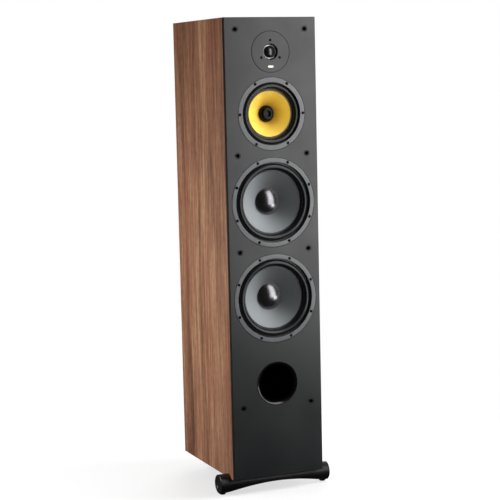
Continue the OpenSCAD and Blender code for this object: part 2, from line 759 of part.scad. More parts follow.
module mid_pole_pieces() color(steel)
    pole_pieces(mid_coil_r, mid_plate_r, mid_plate_d, mid_plate_t, mid_magnet_t, mid_back_t, 0);

// ---- tweeter

module badge_shape(grow = 0) {
    square([badge_w - badge_tall, badge_tall + 2 * grow], center = true);
    for (side = [-1, 1]) translate([side * (badge_w - badge_tall) / 2, 0]) circle(badge_tall / 2 + grow);
}

module tweeter_faceplate() color(frame_grey) difference() {
    turned([
        [tweeter_mouth_r, 0], [tweeter_plate_r - flange_edge, 0], [tweeter_plate_r, flange_edge],
        [tweeter_plate_r, tweeter_plate_t], [tweeter_boss_r, tweeter_plate_t], [tweeter_boss_r, tweeter_boss_d],
        [tweeter_ring_r + pilot, tweeter_boss_d], [tweeter_ring_r + pilot, tweeter_ring_d]]);
    ring_of(3, tweeter_screw_r, 90) {
        disc(small_head_r + fit, -eps, small_head_t + fit);
        disc(small_r + fit, 0, tweeter_plate_t + eps);
    }
    translate([0, -badge_drop, 0]) plate(-eps, badge_t + pilot) badge_shape(pilot);
}

module tweeter_clamp_ring() color("silver") ring(tweeter_ring_in_r, tweeter_ring_r, tweeter_ring_d, tweeter_boss_d);

// The small roll between the dome and the ring's inside.
module tweeter_surround() color(rubber_black) {
    middle = (dome_r + tweeter_ring_in_r) / 2;
    size = (tweeter_ring_in_r - dome_r) / 2 - fit;
    turned(concat(
        arc([middle, dome_rim_d + dome_t], size, 180, 0, 8),
        [[middle + size, dome_rim_d + 2 * dome_t], [middle - size, dome_rim_d + 2 * dome_t]]));
}

module tweeter_dome() color(ferrite) {
    sphere_r = (dome_r * dome_r + dome_height * dome_height) / (2 * dome_height);
    centre = [0, dome_rim_d - dome_height + sphere_r];
    edge = asin(dome_r / sphere_r);
    turned(concat(
        arc(centre, sphere_r, 90 - edge, 90, 12),
        arc(centre, sphere_r - dome_t, 90, 90 - edge, 12)));
}

module tweeter_voice_coil() color(copper)
    ring(dome_r - tweeter_coil_t, dome_r, dome_rim_d + 2 * dome_t, tweeter_coil_d);

// Pot with a magnet and a pole in its middle.
module tweeter_motor() color(steel) {
    difference() {
        disc(tweeter_boss_r, tweeter_boss_d + fit, tweeter_motor_d);
        disc(dome_r + outer_gap, tweeter_boss_d, tweeter_boss_d + fit + tweeter_cup_wall);
        disc(tweeter_boss_r - tweeter_cup_wall, tweeter_boss_d + tweeter_cup_wall, tweeter_motor_d - tweeter_cup_floor);
    }
    disc(tweeter_pole_r, tweeter_pole_d, tweeter_motor_d - tweeter_cup_floor + eps);
}

module tweeter_screws() color(gloss_black) on_baffle(tweeter_h) ring_of(3, tweeter_screw_r, 90)
    screw(small_head_r, small_head_t, small_r, fit, tweeter_screw_tip_d);

module tweeter_badge() color("silver") translate([0, -badge_drop, 0]) plate(0, badge_t) badge_shape();

module driver_screws() color(gloss_black) {
    for (h = [woofer_upper_h, woofer_lower_h]) on_baffle(h)
        cone_screws(woofer_screw_r, woofer_screws, woofer_screw_first);
    on_baffle(mid_h) cone_screws(mid_screw_r, mid_screws, 0);
}

module red() color([0.7, 0.05, 0.05]) children();
module black() color(gloss_black) children();

side_panel(-1);  // side_panel_left
side_panel(1);  // side_panel_right
top_panel();
bottom_panel();
rear_panel();
front_baffle();
chamber_divider();
cabinet_braces();
damping_wadding();
grille_sockets();
port_tube();
foot_bar_front();
foot_bar_rear();
foot_pads();
foot_bolts();
terminal_cup();
binding_post_studs();
red() post_collar(-1);  // post_collar_red
black() post_collar(1);  // post_collar_black
red() post_knob(-1);  // post_knob_red
black() post_knob(1);  // post_knob_black
crossover_board();
crossover_coils();
crossover_capacitors();
crossover_resistors();
panel_screws();
wiring_harness();
driver_screws();
on_baffle(tweeter_h) tweeter_faceplate();
on_baffle(tweeter_h) tweeter_clamp_ring();
on_baffle(tweeter_h) tweeter_dome();
on_baffle(tweeter_h) tweeter_surround();
on_baffle(tweeter_h) tweeter_voice_coil();
on_baffle(tweeter_h) tweeter_motor();
tweeter_screws();
on_baffle(tweeter_h) tweeter_badge();
on_baffle(mid_h) mid_basket();
on_baffle(mid_h) mid_cone();
on_baffle(mid_h) mid_surround();
on_baffle(mid_h) mid_phase_plug();
on_baffle(mid_h) mid_spider();
on_baffle(mid_h) mid_voice_coil();
on_baffle(mid_h) mid_magnet();
on_baffle(mid_h) mid_pole_pieces();
on_baffle(woofer_upper_h) woofer_basket();  // woofer_upper_basket
on_baffle(woofer_upper_h) woofer_cone();  // woofer_upper_cone
on_baffle(woofer_upper_h) woofer_surround();  // woofer_upper_surround
on_baffle(woofer_upper_h) woofer_dust_cap();  // woofer_upper_dust_cap
on_baffle(woofer_upper_h) woofer_spider();  // woofer_upper_spider
on_baffle(woofer_upper_h) woofer_voice_coil();  // woofer_upper_voice_coil
on_baffle(woofer_upper_h) woofer_magnet();  // woofer_upper_magnet
on_baffle(woofer_upper_h) woofer_pole_pieces();  // woofer_upper_pole_pieces
on_baffle(woofer_lower_h) woofer_basket();  // woofer_lower_basket
on_baffle(woofer_lower_h) woofer_cone();  // woofer_lower_cone
on_baffle(woofer_lower_h) woofer_surround();  // woofer_lower_surround
on_baffle(woofer_lower_h) woofer_dust_cap();  // woofer_lower_dust_cap
on_baffle(woofer_lower_h) woofer_spider();  // woofer_lower_spider
on_baffle(woofer_lower_h) woofer_voice_coil();  // woofer_lower_voice_coil
on_baffle(woofer_lower_h) woofer_magnet();  // woofer_lower_magnet
on_baffle(woofer_lower_h) woofer_pole_pieces();  // woofer_lower_pole_pieces
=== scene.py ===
"""The looks of the floorstanding loudspeaker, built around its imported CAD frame.

Sections are lists of (radius, depth) in millimetres, with depth measured inwards from the face
that a piece sits in. A third value in a corner rounds it. Objects are in metres.
"""

import json
import math
from types import SimpleNamespace

import bmesh
import bpy
import numpy as np
from mathutils import Euler, Matrix, Vector, noise


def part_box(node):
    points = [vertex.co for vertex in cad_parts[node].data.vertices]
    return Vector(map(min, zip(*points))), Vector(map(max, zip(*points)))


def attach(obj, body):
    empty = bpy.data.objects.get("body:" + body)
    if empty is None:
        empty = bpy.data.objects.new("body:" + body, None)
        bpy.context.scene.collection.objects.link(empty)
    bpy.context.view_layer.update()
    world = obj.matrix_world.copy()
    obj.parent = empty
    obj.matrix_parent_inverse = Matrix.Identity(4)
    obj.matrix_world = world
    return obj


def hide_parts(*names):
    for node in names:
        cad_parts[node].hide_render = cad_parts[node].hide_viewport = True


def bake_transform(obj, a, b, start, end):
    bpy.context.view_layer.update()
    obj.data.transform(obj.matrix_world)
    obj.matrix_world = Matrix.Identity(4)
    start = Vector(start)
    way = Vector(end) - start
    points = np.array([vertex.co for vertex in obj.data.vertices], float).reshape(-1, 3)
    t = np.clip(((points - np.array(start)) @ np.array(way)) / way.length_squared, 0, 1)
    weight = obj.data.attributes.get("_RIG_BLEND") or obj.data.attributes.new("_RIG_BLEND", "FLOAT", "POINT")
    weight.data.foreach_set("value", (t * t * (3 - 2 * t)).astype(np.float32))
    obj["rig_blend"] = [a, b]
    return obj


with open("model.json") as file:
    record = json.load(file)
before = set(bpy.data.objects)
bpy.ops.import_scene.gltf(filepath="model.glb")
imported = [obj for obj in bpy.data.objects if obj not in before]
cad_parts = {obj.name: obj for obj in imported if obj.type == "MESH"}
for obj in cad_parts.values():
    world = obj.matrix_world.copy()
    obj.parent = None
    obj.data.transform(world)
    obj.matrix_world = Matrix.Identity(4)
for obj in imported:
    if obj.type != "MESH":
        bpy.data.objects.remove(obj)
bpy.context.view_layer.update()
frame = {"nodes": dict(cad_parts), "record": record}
NODES = frame["nodes"]
SLOT = {part["node"]: part["material_slot"] for part in frame["record"]["subparts"]}
BODY = {node: body for body, nodes in frame["record"]["behaviour"]["bodies"].items() for node in nodes}

MM = 0.001
FRONT_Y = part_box("front_baffle")[0].y
REAR_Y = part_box("rear_panel")[1].y
CABINET_W = 2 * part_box("side_panel_right")[1].x / MM
BASE_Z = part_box("bottom_panel")[0].z
TOP_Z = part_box("top_panel")[1].z
SHARP = math.radians(35)
ON_AXIS = 1e-6
UPRIGHT = Matrix.Rotation(math.radians(90), 4, "X")


def axis_of(node, face_y=FRONT_Y):
    """Where a round node's axis meets a face."""
    low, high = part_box(node)
    return Vector(((low.x + high.x) / 2, face_y, (low.z + high.z) / 2))


BAFFLE_MID = Vector((0, FRONT_Y, (BASE_Z + TOP_Z) / 2))
MID_AT = axis_of("mid_basket")
TWEETER_AT = axis_of("tweeter_faceplate")
CUP_AT = axis_of("terminal_cup", REAR_Y)


def from_mid(node):
    """A node's axis, in millimetres above the baffle's middle."""
    return (axis_of(node).z - BAFFLE_MID.z) / MM


def half_width(node):
    """Half of a node's width in millimetres, which is a round node's radius."""
    low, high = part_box(node)
    return (high.x - low.x) / 2 / MM


# ---------------- mesh building


def fillet(corners, closed, steps=5):
    """Rounds the corners that have a third value, their radius."""
    points = []
    last = len(corners) - 1
    for i, corner in enumerate(corners):
        point = Vector(corner[:2])
        if len(corner) < 3 or (not closed and i in (0, last)):
            points.append(tuple(point))
            continue
        before = (Vector(corners[i - 1][:2]) - point).normalized()
        after = (Vector(corners[(i + 1) % len(corners)][:2]) - point).normalized()
        half = before.angle(after) / 2
        centre = point + (before + after).normalized() * corner[2] / math.sin(half)
        start = point + before * corner[2] / math.tan(half) - centre
        end = point + after * corner[2] / math.tan(half) - centre
        sweep = math.atan2(start.x * end.y - start.y * end.x, start.dot(end))
        for k in range(steps + 1):
            a = sweep * k / steps
            points.append((centre.x + start.x * math.cos(a) - start.y * math.sin(a),
                           centre.y + start.x * math.sin(a) + start.y * math.cos(a)))
    return points


def arc(centre, radius, start, end, steps=16):
    """Points (radius, depth) along an arc, in degrees; 90 points out of the face."""
    angles = [math.radians(start + (end - start) * i / steps) for i in range(steps + 1)]
    return [(centre[0] + radius * math.cos(a), centre[1] - radius * math.sin(a)) for a in angles]


def dome_section(r, tall, rim_d, thick, steps):
    """A thin spherical cap of a radius and a height, whose rim lies at rim_d."""
    ball = (r * r + tall * tall) / (2 * tall)
    centre = (0, rim_d - tall + ball)
    edge = math.degrees(math.asin(r / ball))
    return arc(centre, ball, 90 - edge, 90, steps) + arc(centre, ball - thick, 90, 90 - edge, steps)


def ring_places(count, r, first=0.0):
    """Places (x, z) round a circle, from an angle in degrees."""
    turn = [math.radians(first + 360 * i / count) for i in range(count)]
    return [(r * math.cos(a), r * math.sin(a)) for a in turn]


class Shell:
    """One closed mesh made from loops of points, walls between them and flat faces with holes."""

    def __init__(self, at, inward=1):
        self.bm = bmesh.new()
        self.at = Vector(at)
        self.inward = inward

    def loop(self, points, depth):
        """points are (x, z) in millimetres from the axis."""
        y = self.at.y + self.inward * depth * MM
        return [self.bm.verts.new((self.at.x + x * MM, y, self.at.z + z * MM)) for x, z in points]

    def circle(self, r, depth, x, z, count):
        """A round loop. On the axis, it is one point used over and over."""
        if r < ON_AXIS:
            return self.loop([(x, z)], depth) * count
        turn = [2 * math.pi * i / count for i in range(count)]
        return self.loop([(x + r * math.cos(a), z + r * math.sin(a)) for a in turn], depth)

    def walls(self, *loops):
        """Faces from each loop to the next."""
        for a, b in zip(loops, loops[1:]):
            for i in range(len(a)):
                j = (i + 1) % len(a)
                corners = list(dict.fromkeys((a[i], a[j], b[j], b[i])))
                if len(corners) > 2:
                    self.bm.faces.new(corners)

    def chain(self, section, closed=False, x=0, z=0, count=160):
        """Walls along an open section, or right round a closed one. Returns the loops."""
        loops = [self.circle(r, d, x, z, count) for r, d in fillet(section, closed)]
        self.walls(*loops)
        if closed:
            self.walls(loops[-1], loops[0])
        return loops

    def cap(self, loop):
        """One flat face inside a loop."""
        self.bm.faces.new(loop)

    def flat(self, outer, *holes):
        """A flat face between an outer loop and its holes."""
        edges = []
        for ring in (outer, *holes):
            for i in range(len(ring)):
                pair = (ring[i - 1], ring[i])
                edges.append(self.bm.edges.get(pair) or self.bm.edges.new(pair))
        bmesh.ops.triangle_fill(self.bm, use_beauty=True, use_dissolve=False, edges=edges)

    def make(self, name, weighted=True):
        bmesh.ops.recalc_face_normals(self.bm, faces=self.bm.faces)
        return finish_mesh(name, self.bm, weighted)


def finish_mesh(name, bm, weighted=True):
    """Turns a bmesh into a smooth-shaded object with sharp edges kept."""
    mesh = bpy.data.meshes.new(name)
    bm.to_mesh(mesh)
    bm.free()
    mesh.shade_smooth()
    mesh.set_sharp_from_angle(angle=SHARP)
    piece = bpy.data.objects.new(name, mesh)
    bpy.context.scene.collection.objects.link(piece)
    if weighted:
        even_shading(piece)
    return piece


def even_shading(piece):
    piece.modifiers.new("even_shading", "WEIGHTED_NORMAL").keep_sharp = True


def lathe(name, section, at, inward=1, count=160, weighted=True):
    shell = Shell(at, inward)
    shell.chain(section, closed=True, count=count)
    return shell.make(name, weighted)


def add_box(bm, low, high, trim=Vector()):
    """Adds a block between two corners, made smaller by trim."""
    verts = bmesh.ops.create_cube(bm, size=1)["verts"]
    size = Matrix.Diagonal((*(high - low - trim), 1))
    bmesh.ops.transform(bm, matrix=Matrix.Translation((low + high) / 2) @ size, verts=verts)


def cut(piece, cutter):
    """Takes the cutter's volume out of a piece, and removes the cutter."""
    tool = piece.modifiers.new("cut", "BOOLEAN")
    tool.operation = "DIFFERENCE"
    tool.solver = "EXACT"
    tool.object = cutter
    with bpy.context.temp_override(object=piece, active_object=piece):
        bpy.ops.object.modifier_move_to_index(modifier="cut", index=0)
        bpy.ops.object.modifier_apply(modifier="cut")
    bpy.data.objects.remove(cutter)
    piece.data.set_sharp_from_angle(angle=SHARP)
    return piece


def apply_all(piece):
    """Turns a piece's modifiers into its mesh."""
    done = piece.evaluated_get(bpy.context.evaluated_depsgraph_get())
    mesh = bpy.data.meshes.new_from_object(done)
    piece.modifiers.clear()
    piece.data = mesh
    mesh.shade_smooth()


def place(piece, node, finish=None):
    """Lets a piece stand for a CAD node. It takes the node's body, and its finish unless one is named."""
    piece.data.materials.clear()
    piece.data.materials.append(FINISH[finish or SLOT[node]])
    if "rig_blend" not in piece:
        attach(piece, BODY[node])
    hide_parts(node)


def flex(piece, moving, centre, outer, inner):
    """A soft ring that stays with the cabinet outside one radius and follows a cone inside another."""
    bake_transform(piece, "cabinet", moving, start=centre, end=centre + Vector((0, 0.01, 0)))
    points = np.array([v.co for v in piece.data.vertices], float)
    radius = np.hypot(points[:, 0] - centre.x, points[:, 2] - centre.z) / MM
    share = np.clip((outer - radius) / (outer - inner), 0, 1)
    weights = (share * share * (3 - 2 * share)).astype(np.float32)
    piece.data.attributes["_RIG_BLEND"].data.foreach_set("value", weights)
    return piece


# ---------------- materials


def srgb(red, green, blue):
    """A colour from its 0 to 255 screen levels."""
    return tuple(((c / 255 + 0.055) / 1.055) ** 2.4 if c > 10 else c / 3295 for c in (red, green, blue))


def shade(colour, share):
    return tuple(c * share for c in colour)


def operator(name):
    """An arithmetic method that adds a Math node."""
    return lambda self, other: self.graph.math(name, self, other)


class Signal:
    """A node's output, which ordinary arithmetic works on."""

    def __init__(self, graph, socket):
        self.graph = graph
        self.socket = socket

    __add__ = operator("ADD")
    __sub__ = operator("SUBTRACT")
    __mul__ = operator("MULTIPLY")
    __truediv__ = operator("DIVIDE")

    def __rsub__(self, other):
        return self.graph.math("SUBTRACT", other, self)


class Graph:
    """Short ways to add nodes to a node tree."""

    def __init__(self, tree):
        self.tree = tree

    def feed(self, socket, value):
        """Gives an input a signal, a colour or a plain value."""
        if isinstance(value, Signal):
            self.tree.links.new(value.socket, socket)
        elif isinstance(value, tuple) and socket.type == "RGBA":
            socket.default_value = (*value, 1)
        else:
            socket.default_value = value

    def node(self, kind, inputs, output=0, **settings):
        """Adds a node and returns one of its outputs."""
        made = self.tree.nodes.new("ShaderNode" + kind)
        for key, value in settings.items():
            setattr(made, key, value)
        for key, value in inputs.items():
            self.feed(made.inputs[key], value)
        return Signal(self, made.outputs[output])

    def math(self, operation, a, b=0.0):
        return self.node("Math", {0: a, 1: b}, operation=operation)

    def vector(self, x, y=0.0, z=0.0):
        return self.node("CombineXYZ", {0: x, 1: y, 2: z})

    def split(self, vector):
        return [self.node("SeparateXYZ", {0: vector}, i) for i in range(3)]

    def point(self):
        """Where a point is on the object, in metres."""
        return self.node("TexCoord", {}, "Object")

    def distance(self, a, b):
        return self.math("SQRT", a * a + b * b)

    def span(self, value, low, high, new_low=0.0, new_high=1.0):
        """Maps one range to another, and holds the ends."""
        return self.node("MapRange", {"Value": value, "From Min": low, "From Max": high,
                                      "To Min": new_low, "To Max": new_high})

    def noise(self, scale, detail=2, at=None, distortion=0.0, roughness=0.5):
        return self.node("TexNoise", {"Vector": at or self.point(), "Scale": scale, "Detail": detail,
                                      "Distortion": distortion, "Roughness": roughness}, "Fac")

    def grey(self, value):
        return self.node("CombineColor", {0: value, 1: value, 2: value})

    def ramp(self, value, stops):
        colours = self.node("ValToRGB", {"Fac": value})
        elements = colours.socket.node.color_ramp.elements
        while len(elements) < len(stops):
            elements.new(0.5)
        for element, (position, colour) in zip(elements, stops):
            element.position = position
            element.color = (*colour, 1)
        return colours

    def mix(self, share, a, b, blend="MIX"):
        """A mix of two colours, which go into the Mix node's inputs 6 and 7."""
        return self.node("Mix", {0: share, 6: a, 7: b}, 2, data_type="RGBA", blend_type=blend)

    def emission(self, strength):
        return self.node("Emission", {"Color": (1, 1, 1), "Strength": strength})


class Paint(Graph):
    """A material built from nodes."""

    def __init__(self, name, colour, roughness=0.5, metallic=0.0, **inputs):
        self.material = bpy.data.materials.new(name)
        self.material.use_nodes = True
        super().__init__(self.material.node_tree)
        self.shader = self.tree.nodes["Principled BSDF"]
        self.set("Base Color", colour)
        self.set("Roughness", roughness)
        self.set("Metallic", metallic)
        for key, value in inputs.items():
            self.set(key.replace("_", " "), value)
        self.material.diffuse_color = self.shader.inputs["Base Color"].default_value

    def set(self, name, value):
        self.feed(self.shader.inputs[name], value)

    def tint(self, value, dark, light):
        self.set("Base Color", self.mix(self.span(value, 0.35, 0.65), dark, light))

    def gloss(self, value, smooth, rough):
        self.set("Roughness", self.span(value, 0.3, 0.7, smooth, rough))

    def bump(self, height, strength, distance):
        inputs = {"Height": height, "Strength": strength, "Distance": distance}
        self.set("Normal", self.node("Bump", inputs))


def walnut(name, across, along, face):
    """Straight-grained walnut veneer. across and along name the axes of its grain, and face is where
    the panel's face lies on the third axis, so that the grain turns the panel's corners."""
    p = Paint(name, (0.2, 0.1, 0.06), 0.5, Specular_IOR_Level=0.3)
    xyz = p.split(p.point())
    width = xyz[across] + (xyz[3 - across - along] - face)
    length = xyz[along]

    def grain(across_scale, along_scale, detail, seed, rough=0.5, drift=0.0):
        """One layer of figure. drift is how far it wanders sideways along the grain."""
        u = width * across_scale
        if drift:
            u = u + p.noise(1.0, 1, p.vector(length * 1.7, seed)) * drift
        return p.noise(1.0, detail, p.vector(u, seed, length * along_scale), roughness=rough)

    def stripe(middle, spread, height):
        """One soft-edged stripe along the grain, that wanders a little."""
        bend = p.noise(1.0, 2, p.vector(length * 2.4, middle * 50))
        off = (width - (middle + 0.5 * spread) + bend * spread) / spread
        return p.math("EXPONENT", off * off * -1.0) * height

    bands = grain(17, 1.1, 2, 3.1, drift=0.9)
    streaks = grain(105, 4, 3, 7.7, rough=0.65, drift=2.0)
    lines = grain(260, 9, 3, 4.4, rough=0.65, drift=3.0)
    fibres = grain(1100, 40, 3, 1.3, rough=0.7)
    curl = grain(55, 70, 2, 9.2, drift=1.0)
    red_patches = grain(34, 2.1, 2, 11.9, drift=1.2)
    pores = p.span(grain(700, 30, 2, 5.5), 0.60, 0.70)
    tone = stripe(-0.036, 0.034, 0.055) + stripe(0.115, 0.016, -0.06)
    for layer, share in ((bands, 0.24), (streaks, 0.34), (lines, 0.24), (fibres, 0.10), (curl, 0.08)):
        tone = tone + layer * share
    wood = p.ramp(tone, [(0.37, srgb(80, 51, 37)), (0.45, srgb(116, 78, 57)),
                         (0.53, srgb(147, 105, 79)), (0.62, srgb(184, 142, 109))])
    ruddy = p.mix(0.5, wood, srgb(144, 84, 62))
    wood = p.mix(p.span(red_patches, 0.48, 0.62, 0, 0.7), wood, ruddy)
    p.set("Base Color", p.mix(pores * 0.5, wood, srgb(66, 42, 30)))
    p.gloss(streaks, 0.6, 0.48)
    p.bump(fibres - pores, 0.25, 0.00012)
    return p.material


def satin(name, colour, roughness, grain=700, depth=0.00003, spread=0.05, metallic=0.0, **inputs):
    """Powder coat, lacquer or moulding: fine relief, and patches that differ a little in gloss."""
    p = Paint(name, colour, roughness, metallic, **inputs)
    p.gloss(p.noise(9, 3), roughness - spread, roughness + spread)
    p.tint(p.noise(60, 4), shade(colour, 0.86), colour)
    p.bump(p.noise(grain, 2), 0.35, depth)
    return p.material


def baffle_paint(name, colour, roughness, edge=(0.006, 0.006, 0.007)):
    """Satin lacquer on the face, and matt black wherever the board turns away from the front."""
    p = Paint(name, colour, roughness)
    facing = p.math("ABSOLUTE", p.split(p.node("NewGeometry", {}, "Normal"))[1])
    turned = p.span(facing, 0.6, 0.95, 1, 0)
    p.set("Specular IOR Level", 1.0 - turned * 0.8)
    worn = p.mix(p.span(p.noise(60, 4), 0.35, 0.65), shade(colour, 0.86), colour)
    p.set("Base Color", p.mix(turned, worn, edge))
    patches = p.span(p.noise(9, 3), 0.3, 0.7, roughness - 0.05, roughness + 0.05)
    p.set("Roughness", p.math("MAXIMUM", patches, turned * 0.75))
    p.bump(p.noise(1100, 2), 0.35, 0.00002)
    return p.material


def turned_metal(name, colour, roughness, at):
    """Metal with the fine rings of a lathe tool."""
    p = Paint(name, colour, roughness, 1.0)
    x, _, z = p.split(p.point())
    rings = p.noise(1800, 2, p.vector(p.distance(x - at.x, z - at.z), 0.3))
    p.gloss(rings, roughness - 0.04, roughness + 0.05)
    p.tint(rings, shade(colour, 0.85), colour)
    p.bump(rings, 0.05, 0.00001)
    return p.material


def rubber(name, colour, roughness, sheen=0.45):
    p = Paint(name, colour, roughness, Specular_IOR_Level=sheen)
    dust = p.span(p.noise(35, 4), 0.45, 0.75, 0, 0.25)
    p.set("Base Color", p.mix(dust, colour, tuple(c * 2 + 0.01 for c in colour)))
    p.gloss(p.noise(30, 3), roughness - 0.03, roughness + 0.05)
    p.bump(p.noise(1500, 2), 0.2, 0.00003)
    return p.material


# In metres from the midrange's axis: where the painted neck shade fades out, and where the painted glow
# rises to full.
PAINTED_NECK_SHADE = (0.021, 0.038)
PAINTED_GLOW_REACH = (0.02, 0.045)


def woven(name, pitch, warp, weft, gap, roughness, relief, painted_glow=0.0):
    """Plain weave across the baffle's plane: each thread passes over and under in turn. Towards the middle
    of the midrange it is darker and warmer, a painted shade, and painted_glow sets a painted glow in the
    cloth."""
    p = Paint(name, warp, roughness)
    x, _, z = p.split(p.point())
    dx, dz = x - MID_AT.x, z - MID_AT.z
    bias = math.sqrt(0.5)
    u = (dx * bias + dz * bias) / (pitch * MM) + 1000.0
    v = (dx * -bias + dz * bias) / (pitch * MM) + 1000.0

    def crown(value):
        """0 between two threads and 1 on a thread's middle."""
        wave = p.math("ABSOLUTE", p.math("FRACT", value) - 0.5)
        return 1.0 - p.math("POWER", wave * 2.0, 3.0)

    square = p.math("FLOOR", u) + p.math("FLOOR", v)
    over = p.math("GREATER_THAN", p.math("FRACT", square * 0.5), 0.25)
    height = p.node("Mix", {0: over, 2: crown(u), 3: crown(v)})
    patches = p.span(p.noise(45, 3), 0.35, 0.65, 0.9, 1.06)
    thread = p.mix(1.0, p.mix(over, warp, weft), p.grey(patches), "MULTIPLY")
    cloth = p.mix(p.span(height, 0.1, 0.75, 1, 0), thread, gap)
    radius = p.distance(dx, dz)
    # Painted shade: towards the cone's neck the cloth is multiplied by a warm, darker tint.
    painted_neck_shade = p.mix(1.0, cloth, (1.0, 0.84, 0.6), "MULTIPLY")
    cloth = p.mix(p.span(radius, *PAINTED_NECK_SHADE, 1, 0), cloth, painted_neck_shade)
    p.set("Base Color", cloth)
    # Painted glow: emission in a warmer copy of the cloth's colour, weaker near the neck.
    if painted_glow:
        p.set("Emission Color", p.mix(1.0, cloth, (1.0, 0.8, 0.35), "MULTIPLY"))
        p.set("Emission Strength", p.span(radius, *PAINTED_GLOW_REACH, 0.25 * painted_glow, painted_glow))
    p.bump(height, relief, 0.0002)
    return p.material


def paper_cone(name, colour, roughness):
    """Coated fibre: satin, with short fibres just visible under the coating."""
    p = Paint(name, colour, roughness, 0.15)
    fibres = p.noise(420, 5, roughness=0.7, distortion=0.6)
    p.tint(fibres, shade(colour, 0.9), colour)
    p.gloss(fibres, roughness - 0.04, roughness + 0.05)
    p.bump(fibres, 0.16, 0.00012)
    return p.material


def lacquer(name, colour, roughness):
    """Gloss moulding, with faint ripple."""
    p = Paint(name, colour, roughness, Coat_Weight=0.6, Coat_Roughness=0.08)
    p.gloss(p.noise(50, 3), roughness, roughness + 0.05)
    p.bump(p.noise(130, 2), 0.05, 0.00005)
    return p.material


def fuzz(name, colour):
    """Loose fibre."""
    p = Paint(name, colour, 0.95, Sheen_Weight=0.5)
    strands = p.noise(260, 6, distortion=2.0, roughness=0.75)
    p.set("Base Color", p.ramp(strands, [(0.3, shade(colour, 0.7)), (0.7, colour)]))
    p.bump(strands, 0.8, 0.002)
    return p.material


def fibreboard(name):
    p = Paint(name, (0.45, 0.31, 0.19), 0.85)
    flecks = p.noise(900, 5, roughness=0.8)
    p.set("Base Color", p.ramp(flecks, [(0.3, (0.33, 0.22, 0.13)), (0.7, (0.52, 0.37, 0.24))]))
    p.bump(flecks, 0.3, 0.0001)
    return p.material


def wound_wire(name, colour, former, winding_d):
    """Lacquered copper in fine turns, on a dark film former that shows in front of the winding."""
    p = Paint(name, colour, 0.3, 1.0)
    ridges = {"Vector": p.point(), "Scale": 420.0, "Distortion": 0.4}
    turns = p.node("TexWave", ridges, "Fac", bands_direction="Y")
    wound = p.math("GREATER_THAN", p.split(p.point())[1], FRONT_Y + winding_d * MM)
    film = p.mix(p.span(p.noise(160, 3), 0.35, 0.65), shade(former, 0.7), former)
    p.set("Base Color", p.mix(wound, film, p.mix(turns, shade(colour, 0.45), colour)))
    p.set("Metallic", wound)
    p.gloss(p.noise(90, 3), 0.26, 0.38)
    p.bump(turns * wound, 0.6, 0.0003)
    return p.material


def plated(name, colour, roughness=0.3):
    p = Paint(name, colour, roughness, 1.0)
    scuffs = p.noise(220, 5, roughness=0.7)
    p.gloss(scuffs, roughness - 0.08, roughness + 0.12)
    p.set("Base Color", p.mix(p.span(scuffs, 0.4, 0.8, 0, 0.35), colour, shade(colour, 0.7)))
    p.bump(scuffs, 0.12, 0.00004)
    return p.material


# ---------------- sizes, in millimetres

WOOFER = SimpleNamespace(
    throat_r=98.3, wall=1.5, flange_t=6, ledge_d=9.6, ledge_w=8, screws=(8, 103.7, 22.5),
    cone_r=75, rim_d=13.4, neck_d=47.5, coil_r=19, roll_r=86.6, roll_size=8, crest_d=0.9,
    spider_d=58, spider_r=62, plate_d=80, plate_t=6, plate_r=50, winding=18, coil_lift=4, flare=2.4)
MID = SimpleNamespace(
    throat_r=76, wall=1.5, flange_t=6, ledge_d=9.6, ledge_w=8, screws=(6, 83.1, 0),
    cone_r=55.4, rim_d=12.6, neck_d=34, coil_r=19.9, roll_r=67.2, roll_size=6.8, crest_d=1.6,
    spider_d=45, spider_r=50, plate_d=60, plate_t=5, plate_r=44, winding=9, coil_lift=2, flare=2.6)
DRIVERS = {"woofer_upper": WOOFER, "woofer_lower": WOOFER, "mid": MID}
GAP = 0.1
RUBBER_T = 0.9
CONE_T = 1.1
RIM_W = 4
FORMER_T = 0.3
SPIDER_T = 0.6
SPIDER_LIP = 4
SPIDER_WAVES, SPIDER_WAVE_H = 5, 2
CAP_R, CAP_TALL = 33.0, 12.0

TWEETER = SimpleNamespace(
    plate_r=49.6, plate_t=5, recess_r=50.0, hole_r=22, screws=(3, 27.7, 90), ring_r=16.8, ring_d=6.4,
    rear_d=8, dome_r=12.9, dome_tall=5.2, dome_d=7.0, roll_r=13.65, roll_size=0.65, roll_d=7.3)
BADGE_W, BADGE_TALL, BADGE_DROP, BADGE_T = 15, 5, 35.5, 0.8

SCREW = SimpleNamespace(head_r=3.5, head_t=2.2, shank_r=2.0, sink=2.6, tip_d=19.5)
SMALL_SCREW = SimpleNamespace(head_r=3.0, head_t=1.6, shank_r=1.6, sink=1.7, tip_d=17)
HEX_R, HEX_D = 1.6, 1.2
BAFFLE_T, BAFFLE_LIP, BAFFLE_EDGE = 22, 9.2, 1.6
PANEL_T = 18
SOCKET = SimpleNamespace(
    x=91.3, recess_r=7.5, rim_r=6.6, rim_t=0.8, r=5.4, length=14, bore_r=4.3, floor_t=1.5, row_gap=20)
PORT = SimpleNamespace(mouth_r=54, rim=0.4, bore_r=45, wall=2.5, length=165, hole_r=52, recess_d=3.1)

FOOT = SimpleNamespace(r=23.7, axis_z=26.1, rim=1.5, dish=1.2, arch_r=520, arch_z=22, tool_w=30)
BOLT_HOLE = [(0, -2), (7, -2), (7, 24), (3.1, 24), (3.1, 45), (0, 45)]
PAD_R, PAD_T, PAD_INSET = 8, 6, 11

